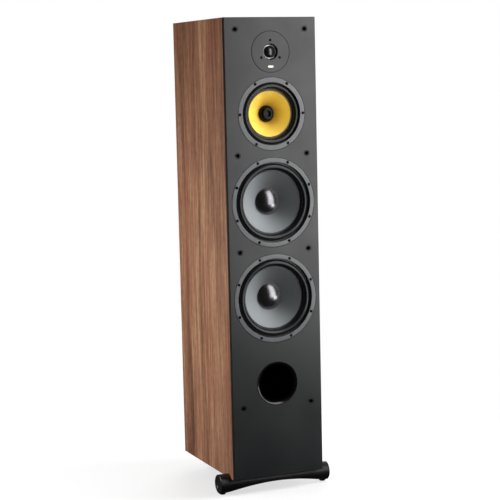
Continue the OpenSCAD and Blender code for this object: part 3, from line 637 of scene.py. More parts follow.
CUP_W, CUP_TALL, CUP_R, CUP_FLANGE_T, CUP_DEPTH = 84, 104, 8, 3, 28
CUP_BORDER, CUP_WALL = 11, 2.5
CUP_FLOOR_D = CUP_DEPTH - CUP_WALL
CUP_SCREW = (CUP_W / 2 - CUP_BORDER / 2, CUP_TALL / 2 - CUP_BORDER / 2)
POST_X = 14
STUD_R, STUD_TIP, STUD_END, STUD_BORE_R = 4, 6, 42, 2.05
THREAD_START, THREAD_PITCH, THREAD_DEPTH = 8, 0.8, 0.28
SEAT_R, SEAT_T = 8, 2
NUT_R, NUT_T = 7.5, 4
COLLAR_T = 1.5
COLLAR_D = CUP_FLOOR_D - SEAT_T - GAP - COLLAR_T
KNOB_R = 7.6
KNOB_LENGTH = 14.4
KNOB_D = COLLAR_D - GAP - KNOB_LENGTH
FLUTES, FLUTE_DEPTH, POINTS_PER_FLUTE = 12, 0.55, 14

# ---------------- shared parts


def screw(shell, x, z, size):
    """A cap screw: rounded head, hexagon socket and a pointed shank."""
    head_d = size.sink - size.head_t
    hexagon = [(x + hx, z + hz) for hx, hz in ring_places(6, HEX_R)]
    mouth = shell.loop(hexagon, head_d)
    floor = shell.loop(hexagon, head_d + HEX_D)
    shell.walls(mouth, floor)
    shell.cap(floor)
    section = [(size.head_r - 0.7, head_d), (size.head_r, head_d + 0.35, 0.25),
               (size.head_r, head_d + size.head_t, 0.1), (size.shank_r, head_d + size.head_t),
               (size.shank_r, size.tip_d - 1.4), (0, size.tip_d)]
    outside = shell.chain(section, x=x, z=z, count=32)
    shell.flat(outside[0], mouth)


def counterbores(shell, places, size, gap, depth, count):
    """Stepped screw holes with an eased mouth. Returns each one's loops."""
    head, shank = size.head_r + gap, size.shank_r + GAP
    section = [(head + 0.15, 0), (head, 0.15), (head, size.sink), (shank, size.sink), (shank, depth)]
    return [shell.chain(section, x=x, z=z, count=count) for x, z in places]


def outline(w, h, r, steps=6):
    """A rounded rectangle of points, or a plain one for radius 0."""
    points = []
    for sx, sz, start in ((1, 1, 0), (-1, 1, 90), (-1, -1, 180), (1, -1, 270)):
        for k in range(steps + 1 if r else 1):
            a = math.radians(start + 90 * k / steps)
            points.append((sx * (w / 2 - r) + r * math.cos(a), sz * (h / 2 - r) + r * math.sin(a)))
    return points


# ---------------- baffle


def front_baffle():
    """A board with an eased front edge, a full-width lip, and a plug that fits between the panels."""
    shell = Shell(BAFFLE_MID)
    tall = (TOP_Z - BASE_Z) / MM

    def border(trim, depth):
        return shell.loop(outline(CABINET_W - trim, tall - trim, 0), depth)

    eased = []
    for k in range(7):
        a = math.radians(90 - 15 * k)
        eased.append(border(2 * BAFFLE_EDGE * (1 - math.cos(a)), BAFFLE_EDGE * (1 - math.sin(a))))
    lip = border(0, BAFFLE_LIP)
    plug = [border(2 * (PANEL_T + GAP), d) for d in (BAFFLE_LIP, BAFFLE_T)]
    shell.walls(*eased, lip, *plug)
    front, back = [], []

    def opening(node, recess_r, recess_d, hole_r, places=(), size=SCREW):
        """A recess with a through hole in its floor, and blind pilot holes for the screws."""
        z = from_mid(node)
        recess = [(recess_r + 0.3, 0), (recess_r + 0.15, 0.15), (recess_r + 0.15, recess_d)]
        top = shell.chain(recess, z=z)
        pilots = []
        for px, pz in places:
            mouth, end = [shell.circle(size.shank_r + 0.05, d, px, z + pz, 20)
                          for d in (recess_d, size.tip_d + GAP)]
            shell.walls(mouth, end)
            shell.cap(end)
            pilots.append(mouth)
        through = shell.chain([(hole_r, recess_d), (hole_r, BAFFLE_T)], z=z)
        shell.flat(top[-1], through[0], *pilots)
        front.append(top[0])
        back.append(through[-1])

    for name, size in DRIVERS.items():
        node = name + "_basket"
        opening(node, half_width(node) + 0.4, size.flange_t + GAP, size.throat_r + size.wall + 0.5,
                ring_places(*size.screws))
    opening("tweeter_faceplate", TWEETER.recess_r, TWEETER.plate_t + GAP, TWEETER.hole_r,
            ring_places(*TWEETER.screws), SMALL_SCREW)
    opening("port_tube", PORT.mouth_r + 0.2, PORT.recess_d, PORT.hole_r)
    rim_r, rim_d = SOCKET.recess_r, SOCKET.rim_t + 0.05
    bore_r, bore_d = SOCKET.r + 0.05, SOCKET.length + GAP
    hole = [(rim_r + 0.3, 0), (rim_r, 0.3), (rim_r, rim_d), (bore_r, rim_d), (bore_r, bore_d), (0, bore_d)]
    for x, z in socket_places():
        front.append(shell.chain(hole, x=x, z=z, count=40)[0])
    shell.flat(eased[0], *front)
    shell.flat(plug[1], *back)
    return shell.make("baffle")


def socket_places():
    """The grille sockets' places from the baffle's middle, read from the CAD node's four rows."""
    heights = sorted({round(v.co.z / MM) for v in NODES["grille_sockets"].data.vertices})
    rows, row = [], [heights[0]]
    for z in heights[1:]:
        if z - row[-1] > SOCKET.row_gap:
            rows.append(row)
            row = []
        row.append(z)
    rows.append(row)
    middles = [(r[0] + r[-1]) / 2 - BAFFLE_MID.z / MM for r in rows]
    return [(side * SOCKET.x, z) for z in middles for side in (-1, 1)]


def grille_sockets():
    """Cups for the grille's pegs, each with a thin rim."""
    shell = Shell(BAFFLE_MID)
    rim_r, rim_t, r, bore_r = SOCKET.rim_r, SOCKET.rim_t, SOCKET.r, SOCKET.bore_r
    end, floor_d = SOCKET.length, SOCKET.length - SOCKET.floor_t
    section = [(bore_r, 0, 0.35), (rim_r, 0, 0.4), (rim_r, rim_t), (r, rim_t), (r, end, 0.3), (0, end),
               (0, floor_d), (bore_r, floor_d)]
    for x, z in socket_places():
        shell.chain(section, closed=True, x=x, z=z, count=48)
    return shell.make("grille_peg_sockets")


# ---------------- cone drivers


def basket(name, size):
    """Flange with counterbored screw holes, and a tapering frame with six windows."""
    node = name + "_basket"
    flange_r = half_width(node)
    shelf_r = size.spider_r + SPIDER_LIP + GAP
    shelf_d = size.spider_d + SPIDER_T + GAP
    leg_d = size.ledge_d + 5
    rear_r, rear_d = size.coil_r + 10, size.plate_d
    ledge_r, outer_r = size.throat_r - size.ledge_w, size.throat_r + size.wall
    shell = Shell(axis_of(node))
    inside = shell.chain([
        (size.throat_r + 0.6, 0), (size.throat_r, 0, 0.5), (size.throat_r, size.ledge_d),
        (ledge_r, size.ledge_d), (ledge_r, leg_d, 1), (shelf_r, shelf_d - 3), (shelf_r, shelf_d),
        (shelf_r - 4, shelf_d), (shelf_r - 8, rear_d - 4, 2), (rear_r, rear_d - 4), (rear_r, rear_d),
        (size.plate_r + 3, rear_d, 1.5), (shelf_r + 4, shelf_d + 3, 3), (outer_r, leg_d + 2, 2),
        (outer_r, size.flange_t)])
    outside = shell.chain([(flange_r, size.flange_t), (flange_r, 0.9), (flange_r - 0.35, 0.25, 0.3),
                           (flange_r - 1.1, 0)])
    holes = counterbores(shell, ring_places(*size.screws), SCREW, 0.2, size.flange_t, 32)
    shell.flat(outside[-1], inside[0], *[h[0] for h in holes])
    shell.flat(outside[0], inside[-1], *[h[-1] for h in holes])
    piece = shell.make(name + "_frame")

    windows = Shell(axis_of(node))
    near_r, far_r, count, sweep, steps = shelf_r - 6, shelf_r - 6 + size.throat_r, 6, 38, 12
    for i in range(count):
        turn = [math.radians(360 / count * i + sweep * k / steps) for k in range(steps + 1)]
        near, far = [[(r * math.cos(a), r * math.sin(a)) for a in turn] for r in (near_r, far_r)]
        ends = [windows.loop(near + far[::-1], d) for d in (leg_d + 5, shelf_d - 5)]
        windows.walls(*ends)
        for end in ends:
            windows.cap(end)
    return cut(piece, windows.make("window_tool", weighted=False))


def neck_radius(size):
    return size.coil_r + FORMER_T + GAP


def cone_depth(size, r):
    """Depth of a cone's front at a radius: a straight side, bowed forwards by its flare."""
    neck_r = neck_radius(size)
    t = (r - neck_r) / (size.cone_r - neck_r)
    return size.neck_d + (size.rim_d - size.neck_d) * t - 4 * size.flare * t * (1 - t)


def cone(name, size):
    """Cone with a flat rim for the surround. Its flare steepens towards the neck."""
    neck_r = neck_radius(size)
    steps = 20
    reach = [neck_r + (size.cone_r - neck_r) * i / steps for i in range(steps + 1)]
    front, back = [[(r, cone_depth(size, r) + shift) for r in reach] for shift in (0, CONE_T)]
    rim = [(size.cone_r + RIM_W, size.rim_d, 0.2), (size.cone_r + RIM_W, size.rim_d + CONE_T, 0.2)]
    return lathe(name + "_diaphragm", front + rim + back[::-1], axis_of(name + "_basket"), count=192)


def surround(name, size):
    """Half-roll rubber ring: a lip on the cone, the roll, and a lip on the basket's ledge."""
    centre = (size.roll_r, size.crest_d + size.roll_size)
    bore = size.roll_size - RUBBER_T
    lip_d = size.rim_d - GAP
    shelf_d = size.ledge_d - GAP
    top_d = min(centre[1], shelf_d - RUBBER_T)
    section = [(size.cone_r, lip_d, 0.2), (size.cone_r, lip_d - RUBBER_T, 0.35),
               (size.roll_r - size.roll_size, lip_d - RUBBER_T, 0.6)]
    section += arc(centre, size.roll_size, 172, 8, 32)
    section += [(size.roll_r + size.roll_size, top_d, 0.4), (size.throat_r - GAP, top_d),
                (size.throat_r - GAP, shelf_d), (size.roll_r + bore, shelf_d)]
    section += arc(centre, bore, 0, 180, 32)
    section += [(size.roll_r - bore, lip_d)]
    return lathe(name + "_roll", section, axis_of(name + "_basket"), count=192)


def spider(name, size):
    """Corrugated cloth disc that centres the voice coil."""
    inner = neck_radius(size)
    steps = SPIDER_WAVES * 12
    wave = []
    for i in range(steps + 1):
        height = SPIDER_WAVE_H * math.sin(2 * math.pi * SPIDER_WAVES * i / steps)
        wave.append((inner + (size.spider_r - inner) * i / steps, size.spider_d - height))
    edge = size.spider_r + SPIDER_LIP
    section = wave + [(edge, size.spider_d), (edge, size.spider_d + SPIDER_T)]
    section += [(r, d + SPIDER_T) for r, d in reversed(wave)]
    return lathe(name + "_damper", section, axis_of(name + "_basket"))


def voice_coil(name, size):
    """Former with a proud winding at the gap."""
    middle = size.plate_d + size.plate_t / 2
    low, high = middle - size.winding / 2, middle + size.winding / 2
    top_d, outer_r = size.neck_d - size.coil_lift, size.coil_r + FORMER_T
    wire_r, groove, wire_d = outer_r + 0.9, 0.12, 0.5
    turns = int(size.winding / wire_d)
    bumps = []
    for i in range(turns):
        d = low + size.winding * (i + 0.5) / turns
        bumps += [(wire_r - groove, d - wire_d / 2), (wire_r, d)]
    section = [(size.coil_r, top_d), (outer_r, top_d), (outer_r, low)] + bumps
    section += [(wire_r - groove, high), (size.coil_r + FORMER_T / 2, high), (size.coil_r, high)]
    return lathe(name + "_coil", section, axis_of(name + "_basket"), count=96)


def dust_cap(name, size):
    """Shallow glossy dome that sits on the cone."""
    section = dome_section(CAP_R, CAP_TALL, cone_depth(size, CAP_R) - 0.4, RUBBER_T, 28)
    return lathe(name + "_cap", section, axis_of(name + "_basket"))


def phase_plug(size):
    """Bullet in the midrange's neck: a stepped shoulder, a rounded nose and a dished centre."""
    r = size.coil_r - 1.1
    nose_r, nose_d, shoulder_d = 10.4, 24.5, 33
    section = [(0, size.plate_d), (r, size.plate_d)]
    section += arc((nose_r, shoulder_d), r - nose_r, 0, 90, 18)
    section += [(nose_r - 0.8, nose_d, 0.3), (nose_r - 1.2, nose_d + 0.9, 0.4),
                (nose_r - 3.8, nose_d + 1.4, 0.5), (nose_r - 4.6, nose_d + 4.1, 1.0), (0, nose_d + 4.4)]
    return lathe("mid_plug", section, MID_AT, count=128)


# ---------------- tweeter


def pill(grow, steps=16):
    """The badge's round-ended outline."""
    r, reach = BADGE_TALL / 2 + grow, (BADGE_W - BADGE_TALL) / 2
    points = []
    for side, start in ((1, -90), (-1, 90)):
        for k in range(steps + 1):
            a = math.radians(start + 180 * k / steps)
            points.append((side * reach + r * math.cos(a), r * math.sin(a) - BADGE_DROP))
    return points


def tweeter_faceplate():
    """Plate with a flared mouth, three screw holes and a recess for the badge."""
    shell = Shell(TWEETER_AT)
    r, t, throat_r, rear_d = TWEETER.plate_r, TWEETER.plate_t, TWEETER.ring_r + 0.05, TWEETER.rear_d
    mouth = shell.chain([(throat_r + 3.15, 0), (throat_r + 2.45, 0.15, 0.5), (throat_r, TWEETER.ring_d),
                         (throat_r, rear_d), (TWEETER.hole_r - 1, rear_d), (TWEETER.hole_r - 1, t)])
    rim = shell.chain([(r, t), (r, 0.7), (r - 0.3, 0.2, 0.25), (r - 1, 0)])
    holes = counterbores(shell, ring_places(*TWEETER.screws), SMALL_SCREW, 0.1, t, 28)
    recess = [shell.loop(pill(0.05), d) for d in (0, BADGE_T + 0.05)]
    shell.walls(*recess)
    shell.cap(recess[1])
    shell.flat(rim[-1], mouth[0], recess[0], *[h[0] for h in holes])
    shell.flat(rim[0], mouth[-1], *[h[-1] for h in holes])
    return shell.make("tweeter_plate")


def tweeter_badge():
    """A plain domed pill with an eased edge; it carries no mark."""
    shell = Shell(TWEETER_AT)
    profile = ((0, BADGE_T), (0, 0.3), (-0.12, 0.1), (-0.35, 0.02), (-1.0, 0.0))
    loops = [shell.loop(pill(grow), d) for grow, d in profile]
    shell.walls(*loops)
    shell.cap(loops[0])
    shell.cap(loops[-1])
    return shell.make("tweeter_pill_badge")


def tweeter_dome():
    section = dome_section(TWEETER.dome_r, TWEETER.dome_tall, TWEETER.dome_d, 0.3, 24)
    return lathe("tweeter_diaphragm", section, TWEETER_AT, count=128)


def tweeter_surround():
    middle, size, rim_d = TWEETER.roll_r, TWEETER.roll_size, TWEETER.roll_d
    section = arc((middle, rim_d), size, 180, 0, 14)
    section += [(middle + size, rim_d + 0.3), (middle - size, rim_d + 0.3)]
    return lathe("tweeter_roll", section, TWEETER_AT, count=128)


def tweeter_ring():
    r, front_d, rear_d = TWEETER.ring_r, TWEETER.ring_d, TWEETER.rear_d
    inner_r = r - 2.4
    section = [(inner_r, rear_d), (inner_r, front_d + 1, 0.2), (r - 0.2, front_d, 0.15), (r, front_d),
               (r, rear_d)]
    return lathe("tweeter_trim_ring", section, TWEETER_AT, count=128)


# ---------------- port and feet


def port_tube():
    """Straight tube with a quarter-round flare at its mouth."""
    mouth_r, bore_r, wall, length = PORT.mouth_r, PORT.bore_r, PORT.wall, PORT.length
    flare = mouth_r - PORT.rim - bore_r
    centre = (bore_r + flare, flare)
    section = arc(centre, flare, 90, 180, 24)
    section += [(bore_r, length, 0.8), (bore_r + wall, length, 0.8)]
    section += arc(centre, flare - wall, 180, 90, 24)
    section += [(mouth_r, wall), (mouth_r, 0, 0.2)]
    return lathe("port_flare_tube", section, axis_of("port_tube"), count=192)


def box_tool(low, high):
    """A plain block that is only used to cut with."""
    bm = bmesh.new()
    add_box(bm, Vector(low), Vector(high))
    return finish_mesh("box_tool", bm, weighted=False)


# In metres, as the modifiers and the saddle's cut take them.
FOOT_EDGE = 0.0007
SADDLE_GAP = 0.0003
WELD_GAP = 0.00001
ARCH_POINTS = 720


def foot_bar(node, bolt_x, arched):
    """A round bar with a saddle for the cabinet; the front one has an arch under its middle."""
    low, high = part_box(node)
    half = half_width(node)
    r, rim, dish_d = FOOT.r, FOOT.rim, -half + FOOT.dish
    y = (low.y + high.y) / 2
    end = [(0, dish_d), (r * 0.5, dish_d, 0.4), (r * 0.56, -half, 0.4), (r - rim, -half, 0.8),
           (r, -half + rim, 0.8)]
    section = end + [(q[0], -q[1], *q[2:]) for q in reversed(end)]
    piece = lathe(node.replace("foot_bar", "foot"), section, (0, 0, 0), count=128, weighted=False)
    lie = Matrix.Translation((0, y, FOOT.axis_z * MM)) @ Matrix.Rotation(math.radians(90), 4, "Z")
    piece.data.transform(lie)
    wide, reach = CABINET_W / 2 * MM + SADDLE_GAP, 0.03
    cut(piece, box_tool((-wide, y - reach, BASE_Z), (wide, y + reach, BASE_Z + 0.05)))
    if arched:
        arch_at = (0, y, (FOOT.arch_z - FOOT.arch_r) * MM)
        r, w = FOOT.arch_r, FOOT.tool_w
        section = [(0, -w), (r, -w), (r, w), (0, w)]
        cut(piece, lathe("arch_tool", section, arch_at, count=ARCH_POINTS, weighted=False))
    pad_hole = [(0, -2), (PAD_R + GAP, -2), (PAD_R + GAP, PAD_T + GAP), (0, PAD_T + GAP)]
    for x, hole in ((bolt_x, BOLT_HOLE), (half - PAD_INSET, pad_hole)):
        for side in (-1, 1):
            tool = lathe("hole_tool", hole, (0, 0, 0), count=48, weighted=False)
            tool.data.transform(Matrix.Translation((side * x * MM, y, 0)) @ UPRIGHT)
            cut(piece, tool)
    piece.modifiers.new("joined_points", "WELD").merge_threshold = WELD_GAP
    ease = piece.modifiers.new("eased_edges", "BEVEL")
    ease.width = FOOT_EDGE
    ease.segments = 2
    ease.limit_method = "ANGLE"
    ease.angle_limit = SHARP
    even_shading(piece)
    return piece


def foot_pads():
    """Four round rubber pads, one near each end of a bar."""
    shell = Shell((0, 0, 0))
    section = [(0, 0), (PAD_R - 1.6, 0), (PAD_R, 1.2, 0.8), (PAD_R, PAD_T, 0.3), (0, PAD_T)]
    for bar in ("foot_bar_front", "foot_bar_rear"):
        low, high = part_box(bar)
        for x in (low.x / MM + PAD_INSET, high.x / MM - PAD_INSET):
            shell.chain(section, x=x, z=-(low.y + high.y) / 2 / MM, count=64)
    piece = shell.make("foot_pad_set")
    piece.data.transform(UPRIGHT)
    return piece


# ---------------- terminals


def terminal_cup():
    """A dished cup with a flange, four screw holes and a hole for each post."""
    shell = Shell(CUP_AT, inward=-1)

    def rect(trim, r, d):
        return shell.loop(outline(CUP_W - 2 * trim, CUP_TALL - 2 * trim, r), d)

    inner = CUP_BORDER + CUP_WALL
    flange = ((0, CUP_FLANGE_T), (0, 0.8), (0.25, 0.25), (0.9, 0))
    outside = [rect(trim, CUP_R, d) for trim, d in flange]
    basin = [rect(inner - 1, 6.5, 0), rect(inner - 0.3, 5.8, 0.3), rect(inner, 5.5, 1.0),
             rect(inner, 5.5, CUP_FLOOR_D - 1.5), rect(inner + 0.5, 5.0, CUP_FLOOR_D - 0.5),
             rect(inner + 1.6, 4.4, CUP_FLOOR_D)]
    back = [rect(CUP_BORDER, CUP_R, CUP_FLANGE_T), rect(CUP_BORDER, CUP_R, CUP_DEPTH)]
    for group in (outside, basin, back):
        shell.walls(*group)
    corners = [(sx * CUP_SCREW[0], sz * CUP_SCREW[1]) for sx in (-1, 1) for sz in (-1, 1)]
    hole = [(3.3, 0), (3.1, 0.2), (3.1, 1.6), (1.7, 1.6), (1.7, CUP_FLANGE_T)]
    holes = [shell.chain(hole, x=x, z=z, count=32) for x, z in corners]
    post = [(STUD_R + GAP, CUP_FLOOR_D), (STUD_R + GAP, CUP_DEPTH)]
    posts = [shell.chain(post, x=x, count=40) for x in (-POST_X, POST_X)]
    shell.flat(outside[-1], basin[0], *[h[0] for h in holes])
    shell.flat(outside[0], back[0], *[h[-1] for h in holes])
    shell.flat(basin[-1], *[p[0] for p in posts])
    shell.flat(back[-1], *[p[-1] for p in posts])
    return shell.make("terminal_basin")


def post_studs():
    """Threaded studs with a bore for a plug, a seat washer and a nut behind the cup."""
    shell = Shell(CUP_AT, inward=-1)
    tip, end, seat_d = STUD_TIP, STUD_END, CUP_FLOOR_D - SEAT_T
    section = [(2.4, tip), (STUD_R - 0.6, tip, 0.2), (STUD_R, tip + 0.7, 0.2), (STUD_R, THREAD_START)]
    for i in range(int((seat_d - THREAD_START) / THREAD_PITCH)):
        d = THREAD_START + THREAD_PITCH * i
        section += [(STUD_R - THREAD_DEPTH, d + THREAD_PITCH / 2), (STUD_R, d + THREAD_PITCH)]
    section += [(STUD_R, seat_d), (SEAT_R, seat_d, 0.4), (SEAT_R, CUP_FLOOR_D), (STUD_R, CUP_FLOOR_D),
                (STUD_R, end - 0.6), (STUD_R - 0.6, end), (0, end), (0, tip + 18),
                (STUD_BORE_R, tip + 17.4), (STUD_BORE_R, tip + 0.5)]
    near, far, chamfer = CUP_DEPTH, CUP_DEPTH + NUT_T, 0.4
    nut = [(STUD_R + 0.02, near), (NUT_R - chamfer, near), (NUT_R, near + chamfer), (NUT_R, far - chamfer),
           (NUT_R - chamfer, far), (STUD_R + 0.02, far)]
    for x in (-POST_X, POST_X):
        shell.chain(section, closed=True, x=x, count=48)
        shell.chain(nut, closed=True, x=x, count=6)
    return shell.make("binding_post_stems")


def post_knob(node, x):
    """Ribbed knob: flutes that run out before the inner end."""
    shell = Shell(CUP_AT, inward=-1)
    count = FLUTES * POINTS_PER_FLUTE
    turn = [2 * math.pi * i / count for i in range(count)]

    def ribbed(r, d, share):
        reach = [r - FLUTE_DEPTH * share * max(0, math.cos(FLUTES * a)) ** 1.5 for a in turn]
        return shell.loop([(x + q * math.cos(a), q * math.sin(a)) for q, a in zip(reach, turn)], d)

    start, end, r, bore_r = KNOB_D, KNOB_D + KNOB_LENGTH, KNOB_R, STUD_R + GAP
    profile = [(bore_r, start + 0.5, 0), (bore_r + 0.4, start, 0), (r - 1.4, start, 0.3),
               (r - 0.5, start + 0.25, 0.8), (r, start + 1.0, 1), (r, end - 3.4, 1), (r, end - 2.6, 0.5),
               (r, end - 2.2, 0), (r, end - 0.4, 0), (r - 0.4, end, 0), (bore_r, end, 0)]
    loops = [ribbed(*row) for row in profile]
    shell.walls(*loops, loops[0])
    return shell.make(node.replace("post_knob", "knob"))


def post_collar(node, x):
    inner_r, far = STUD_R + GAP, COLLAR_D + COLLAR_T
    section = [(inner_r, COLLAR_D, 0.2), (KNOB_R, COLLAR_D, 0.35), (KNOB_R, far, 0.35), (inner_r, far, 0.2)]
    at = CUP_AT + Vector((x * MM, 0, 0))
    return lathe(node.replace("post_collar", "collar"), section, at, inward=-1, count=96)


# ---------------- wadding

PAD_TRIM = Vector((0.014, 0.012, 0.014))
PAD_VOXEL = 0.007
PUFF_LIMIT = 0.006
PUFF_FRAMES = 20
LUMP_SCALE, LUMP_HEIGHT = 40, 0.0016
PAD_CLEARANCE = 0.0002


def puff(piece):
    """Swells a pad by a cloth simulation, and limits how far each point may move."""
    before = np.array([v.co for v in piece.data.vertices], float)
    cloth = piece.modifiers.new("puff", "CLOTH")
    cloth.settings.use_pressure = True
    cloth.settings.uniform_pressure_force = 4
    cloth.settings.effector_weights.gravity = 0
    scene = bpy.context.scene
    for step in range(1, PUFF_FRAMES + 1):
        scene.frame_set(step)
    soft = piece.evaluated_get(bpy.context.evaluated_depsgraph_get())
    after = np.array([v.co for v in soft.data.vertices], float)
    piece.modifiers.clear()
    scene.frame_set(1)
    push = after - before
    length = np.linalg.norm(push, axis=1, keepdims=True)
    after = before + push * np.minimum(1, PUFF_LIMIT / np.maximum(length, 1e-9))
    piece.data.vertices.foreach_set("co", after.astype(np.float32).ravel())


def wadding():
    """Two fibre pads, one each side of the divider, puffed and then roughened."""
    divider_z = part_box("chamber_divider")[0].z
    clusters = {}
    for v in NODES["damping_wadding"].data.vertices:
        clusters.setdefault(v.co.z > divider_z, []).append(v.co)
    bm = bmesh.new()
    for points in clusters.values():
        low, high = (Vector(f(p[i] for p in points) for i in range(3)) for f in (min, max))
        add_box(bm, low, high, PAD_TRIM)
    piece = finish_mesh("wadding_pads", bm, weighted=False)
    remesh = piece.modifiers.new("even", "REMESH")
    remesh.mode = "VOXEL"
    remesh.voxel_size = PAD_VOXEL
    apply_all(piece)
    puff(piece)
    smooth = piece.modifiers.new("fine", "SUBSURF")
    smooth.levels = smooth.render_levels = 1
    apply_all(piece)
    low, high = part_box("damping_wadding")
    for v in piece.data.vertices:
        lump = noise.fractal(v.co * LUMP_SCALE, 1.0, 2.0, 3) * LUMP_HEIGHT
        moved = v.co + v.normal * lump
        v.co = [min(max(m, a + PAD_CLEARANCE), b - PAD_CLEARANCE) for m, a, b in zip(moved, low, high)]
    piece.data.update()
    return piece


# ---------------- finishes

FINISH = {
    "baffle_black": baffle_paint("baffle_lacquer", srgb(20, 26, 28), 0.39),
    "fibreboard": fibreboard("raw_fibreboard"),
    "fibre_wadding": fuzz("fibre_wadding", srgb(222, 219, 208)),
    "socket_grey": satin("socket_grey", srgb(34, 36, 38), 0.4, grain=900, Specular_IOR_Level=0.4),
    "black_plastic": satin("moulded_black", srgb(24, 24, 26), 0.4, grain=900),
    "port_black": lacquer("port_gloss", srgb(9, 9, 10), 0.16),
    "foot_black": satin("foot_coat", srgb(25, 25, 27), 0.38, grain=1300, Specular_IOR_Level=0.45),
    "foot_rubber": rubber("foot_rubber", srgb(22, 22, 23), 0.7),
    "zinc_steel": plated("zinc_plate", srgb(190, 192, 196), 0.32),
    "screw_black": plated("black_oxide", srgb(22, 22, 24), 0.36),
    "frame_grey": satin("frame_coat", srgb(113, 115, 118), 0.38, grain=1400, Specular_IOR_Level=1.0),
    "woofer_cone": paper_cone("coated_cone", srgb(159, 164, 167), 0.5),
    # The woven finishes take painted shade towards the midrange's neck, and the cone's finish also has a
    # painted glow.
    "woven_cone": woven("woven_cone", 1.6, srgb(240, 218, 102), srgb(234, 201, 76), srgb(182, 115, 20),
                        0.42, 0.5, painted_glow=0.64),
    "surround_rubber": rubber("surround_rubber", srgb(24, 26, 30), 0.28, 0.6),
    "cap_gloss": satin("cap_gloss", srgb(150, 149, 154), 0.24, grain=130, depth=0.00001, spread=0.02,
                       metallic=1.0),
    "plug_black": satin("plug_coat", srgb(12, 12, 15), 0.3, grain=1200, Specular_IOR_Level=0.25),
    "spider_cloth": woven("spider_cloth", 0.8, srgb(206, 170, 96), srgb(186, 148, 78), srgb(96, 70, 34),
                          0.8, 0.8),
    "coil_copper": wound_wire("coil_copper", srgb(214, 128, 78), srgb(34, 24, 16), 56),
    "ferrite": satin("ferrite", srgb(52, 52, 55), 0.55, grain=500, depth=0.0001),
    "dome_metal": turned_metal("dome_metal", srgb(104, 102, 104), 0.3, TWEETER_AT),
    "ring_silver": turned_metal("ring_silver", srgb(214, 216, 220), 0.3, TWEETER_AT),
    "badge_silver": plated("badge_silver", srgb(214, 212, 202), 0.22),
    "post_brass": plated("post_gilt", srgb(226, 190, 110), 0.2),
    "post_red": lacquer("post_red", srgb(150, 18, 20), 0.2),
    "post_black": lacquer("post_black", srgb(20, 20, 22), 0.2),
    "board_green": satin("board_mask", srgb(26, 74, 42), 0.35, grain=300),
    "capacitor_film": lacquer("capacitor_film", srgb(206, 160, 60), 0.3),
    "resistor_ceramic": satin("resistor_ceramic", srgb(220, 216, 204), 0.8, grain=800, depth=0.00008),
    "cable_black": satin("cable_jacket", srgb(22, 22, 24), 0.5, grain=400),
}
WOOD_SIDES = walnut("walnut_sides", 1, 2, -CABINET_W / 2 * MM)
WOOD_REAR = walnut("walnut_rear", 0, 2, REAR_Y)
WOOD_ENDS = walnut("walnut_top_and_bottom", 1, 0, TOP_Z)
WOOD = {"side_panel_left": WOOD_SIDES, "side_panel_right": WOOD_SIDES, "rear_panel": WOOD_REAR,
        "top_panel": WOOD_ENDS, "bottom_panel": WOOD_ENDS}

# ---------------- putting it together

for node, slot in SLOT.items():
    NODES[node].data.materials.clear()
    NODES[node].data.materials.append(WOOD.get(node) or FINISH[slot])

place(front_baffle(), "front_baffle")
place(grille_sockets(), "grille_sockets", "socket_grey")
place(port_tube(), "port_tube")
place(foot_bar("foot_bar_front", 70, arched=True), "foot_bar_front")
place(foot_bar("foot_bar_rear", 28, arched=False), "foot_bar_rear")
place(foot_pads(), "foot_pads")
place(wadding(), "damping_wadding")

for name, size in DRIVERS.items():
    body, at = name + "_cone_body", axis_of(name + "_basket")
    place(basket(name, size), name + "_basket")
    place(cone(name, size), name + "_cone")
    place(voice_coil(name, size), name + "_voice_coil")
    outer, inner = size.roll_r + size.roll_size, size.roll_r - size.roll_size
    place(flex(surround(name, size), body, at, outer, inner), name + "_surround")
    place(flex(spider(name, size), body, at, size.spider_r, size.coil_r + 3), name + "_spider")
    if size is WOOFER:
        place(dust_cap(name, size), name + "_dust_cap")
place(phase_plug(MID), "mid_phase_plug")

driver_screws = Shell(BAFFLE_MID)
for name, size in DRIVERS.items():
    for x, z in ring_places(*size.screws):
        screw(driver_screws, x, z + from_mid(name + "_basket"), SCREW)
place(driver_screws.make("driver_screw_set"), "driver_screws")

tweeter_screws = Shell(TWEETER_AT)
for x, z in ring_places(*TWEETER.screws):
    screw(tweeter_screws, x, z, SMALL_SCREW)
place(tweeter_screws.make("tweeter_screw_set"), "tweeter_screws")
place(tweeter_faceplate(), "tweeter_faceplate", "baffle_black")
place(tweeter_badge(), "tweeter_badge")
place(tweeter_ring(), "tweeter_clamp_ring")
place(tweeter_dome(), "tweeter_dome")
outer, inner = TWEETER.roll_r + TWEETER.roll_size, TWEETER.roll_r - TWEETER.roll_size
place(flex(tweeter_surround(), "tweeter_dome_body", TWEETER_AT, outer, inner), "tweeter_surround")

place(terminal_cup(), "terminal_cup")
place(post_studs(), "binding_post_studs")
for colour, side in (("red", -1), ("black", 1)):
    place(post_knob("post_knob_" + colour, side * POST_X), "post_knob_" + colour)
    place(post_collar("post_collar_" + colour, side * POST_X), "post_collar_" + colour)

# ---------------- studio

FLOOR_R = 14
FLOOR_BOUNCE, FLOOR_GLOSS = 0.08, 0.02
ROOM, ROOM_GLOSS = 0.07, 0.015
CAMERA_AT = (-1.47235, -3.47033, 1.02056)
CAMERA_TURN = (83.420, 1.312, -23.253)
CAMERA_LENS, CAMERA_SENSOR = 107.32, 36


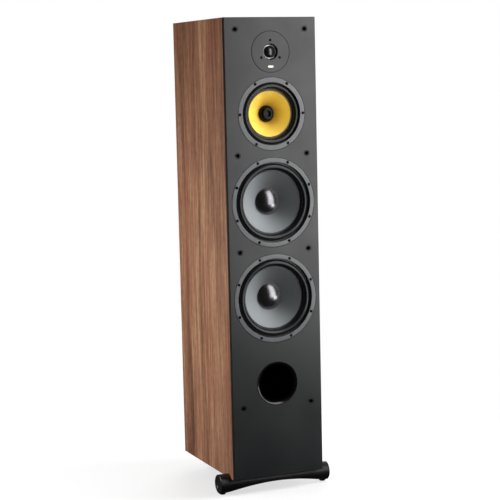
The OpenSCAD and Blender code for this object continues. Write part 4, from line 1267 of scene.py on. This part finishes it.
def studio_floor():
    """A pale disc that fades into the white behind it, and sheds little light back on the cabinet."""
    bm = bmesh.new()
    bmesh.ops.create_circle(bm, cap_ends=True, segments=128, radius=FLOOR_R)
    piece = finish_mesh("studio_floor", bm, weighted=False)
    p = Paint("studio_floor", (0.86, 0.86, 0.86), 0.7)
    x, y, _ = p.split(p.point())
    p.set("Base Color", p.grey(p.span(p.noise(3, 3), 0.3, 0.7, 0.84, 0.88)))
    fade = p.span(p.distance(x, y), 0.15, 1.0, 0.65, 1.0)
    seen = p.node("MixShader", {0: fade, 1: Signal(p, p.shader.outputs[0]), 2: p.emission(1.0)})
    shed = p.span(p.node("LightPath", {}, "Is Glossy Ray"), 0, 1, FLOOR_BOUNCE, FLOOR_GLOSS)
    by_ray = {0: p.node("LightPath", {}, "Is Camera Ray"), 1: p.emission(shed), 2: seen}
    p.feed(p.tree.nodes["Material Output"].inputs["Surface"], p.node("MixShader", by_ray))
    piece.data.materials.append(p.material)


def softbox(name, place_at, target, width, tall, power, tint=(1, 1, 1), mirrored=True, spread=True):
    """A rectangular light. One that isn't mirrored leaves no highlight, and one that isn't spread
    leaves nothing else."""
    lamp = bpy.data.lights.new(name, "AREA")
    lamp.shape = "RECTANGLE"
    lamp.size = width
    lamp.size_y = tall
    lamp.energy = power
    lamp.color = tint
    piece = bpy.data.objects.new(name, lamp)
    piece.visible_glossy = mirrored
    piece.visible_diffuse = spread
    piece.location = place_at
    piece.rotation_euler = (Vector(target) - Vector(place_at)).to_track_quat("-Z", "Y").to_euler()
    bpy.context.scene.collection.objects.link(piece)


def studio_world():
    """White to the camera, and a dim room to everything else."""
    world = bpy.data.worlds.new("studio_world")
    bpy.context.scene.world = world
    world.use_nodes = True
    sky = Graph(world.node_tree)
    background = sky.tree.nodes["Background"]
    room = sky.span(sky.node("LightPath", {}, "Is Glossy Ray"), 0, 1, ROOM, ROOM_GLOSS)
    level = sky.span(sky.node("LightPath", {}, "Is Camera Ray"), 0, 1, room, 1.0)
    sky.feed(background.inputs["Strength"], level)
    sky.feed(background.inputs["Color"], (1, 1, 1))


studio_floor()
softbox("front_softbox", (0.80, -1.34, 1.32), (0, -0.17, 1.32), 0.82, 2.2, 14.5, spread=False,
        tint=(1.0, 0.985, 0.96))
softbox("fill_softbox", (0.80, -1.34, 1.32), (0, -0.17, 1.0), 0.82, 2.2, 4.8, mirrored=False)
softbox("key_softbox", (2.15, -0.82, 1.82), (0, -0.17, 0.7), 1.2, 1.8, 120, mirrored=False)
softbox("low_softbox", (1.05, -1.0, 0.16), (0, -0.17, 0.26), 0.45, 0.28, 1.6)
softbox("side_softbox", (-1.15, 0.16, 0.52), (-0.12, 0.02, 0.52), 0.5, 0.8, 13)
softbox("top_softbox", (0.3, 0.6, 3.0), (0, 0.1, 0.6), 1.2, 1.2, 16)
softbox("back_softbox", (1.3, 2.3, 1.1), (0, 0.17, 0.6), 1.4, 1.8, 60)
studio_world()
bpy.context.scene.view_settings.view_transform = "Standard"

camera = bpy.data.objects.new("camera", bpy.data.cameras.new("camera"))
camera.location = CAMERA_AT
camera.rotation_euler = Euler([math.radians(a) for a in CAMERA_TURN], "XYZ")
camera.data.lens = CAMERA_LENS
camera.data.sensor_width = CAMERA_SENSOR
bpy.context.scene.collection.objects.link(camera)
bpy.context.scene.camera = camera
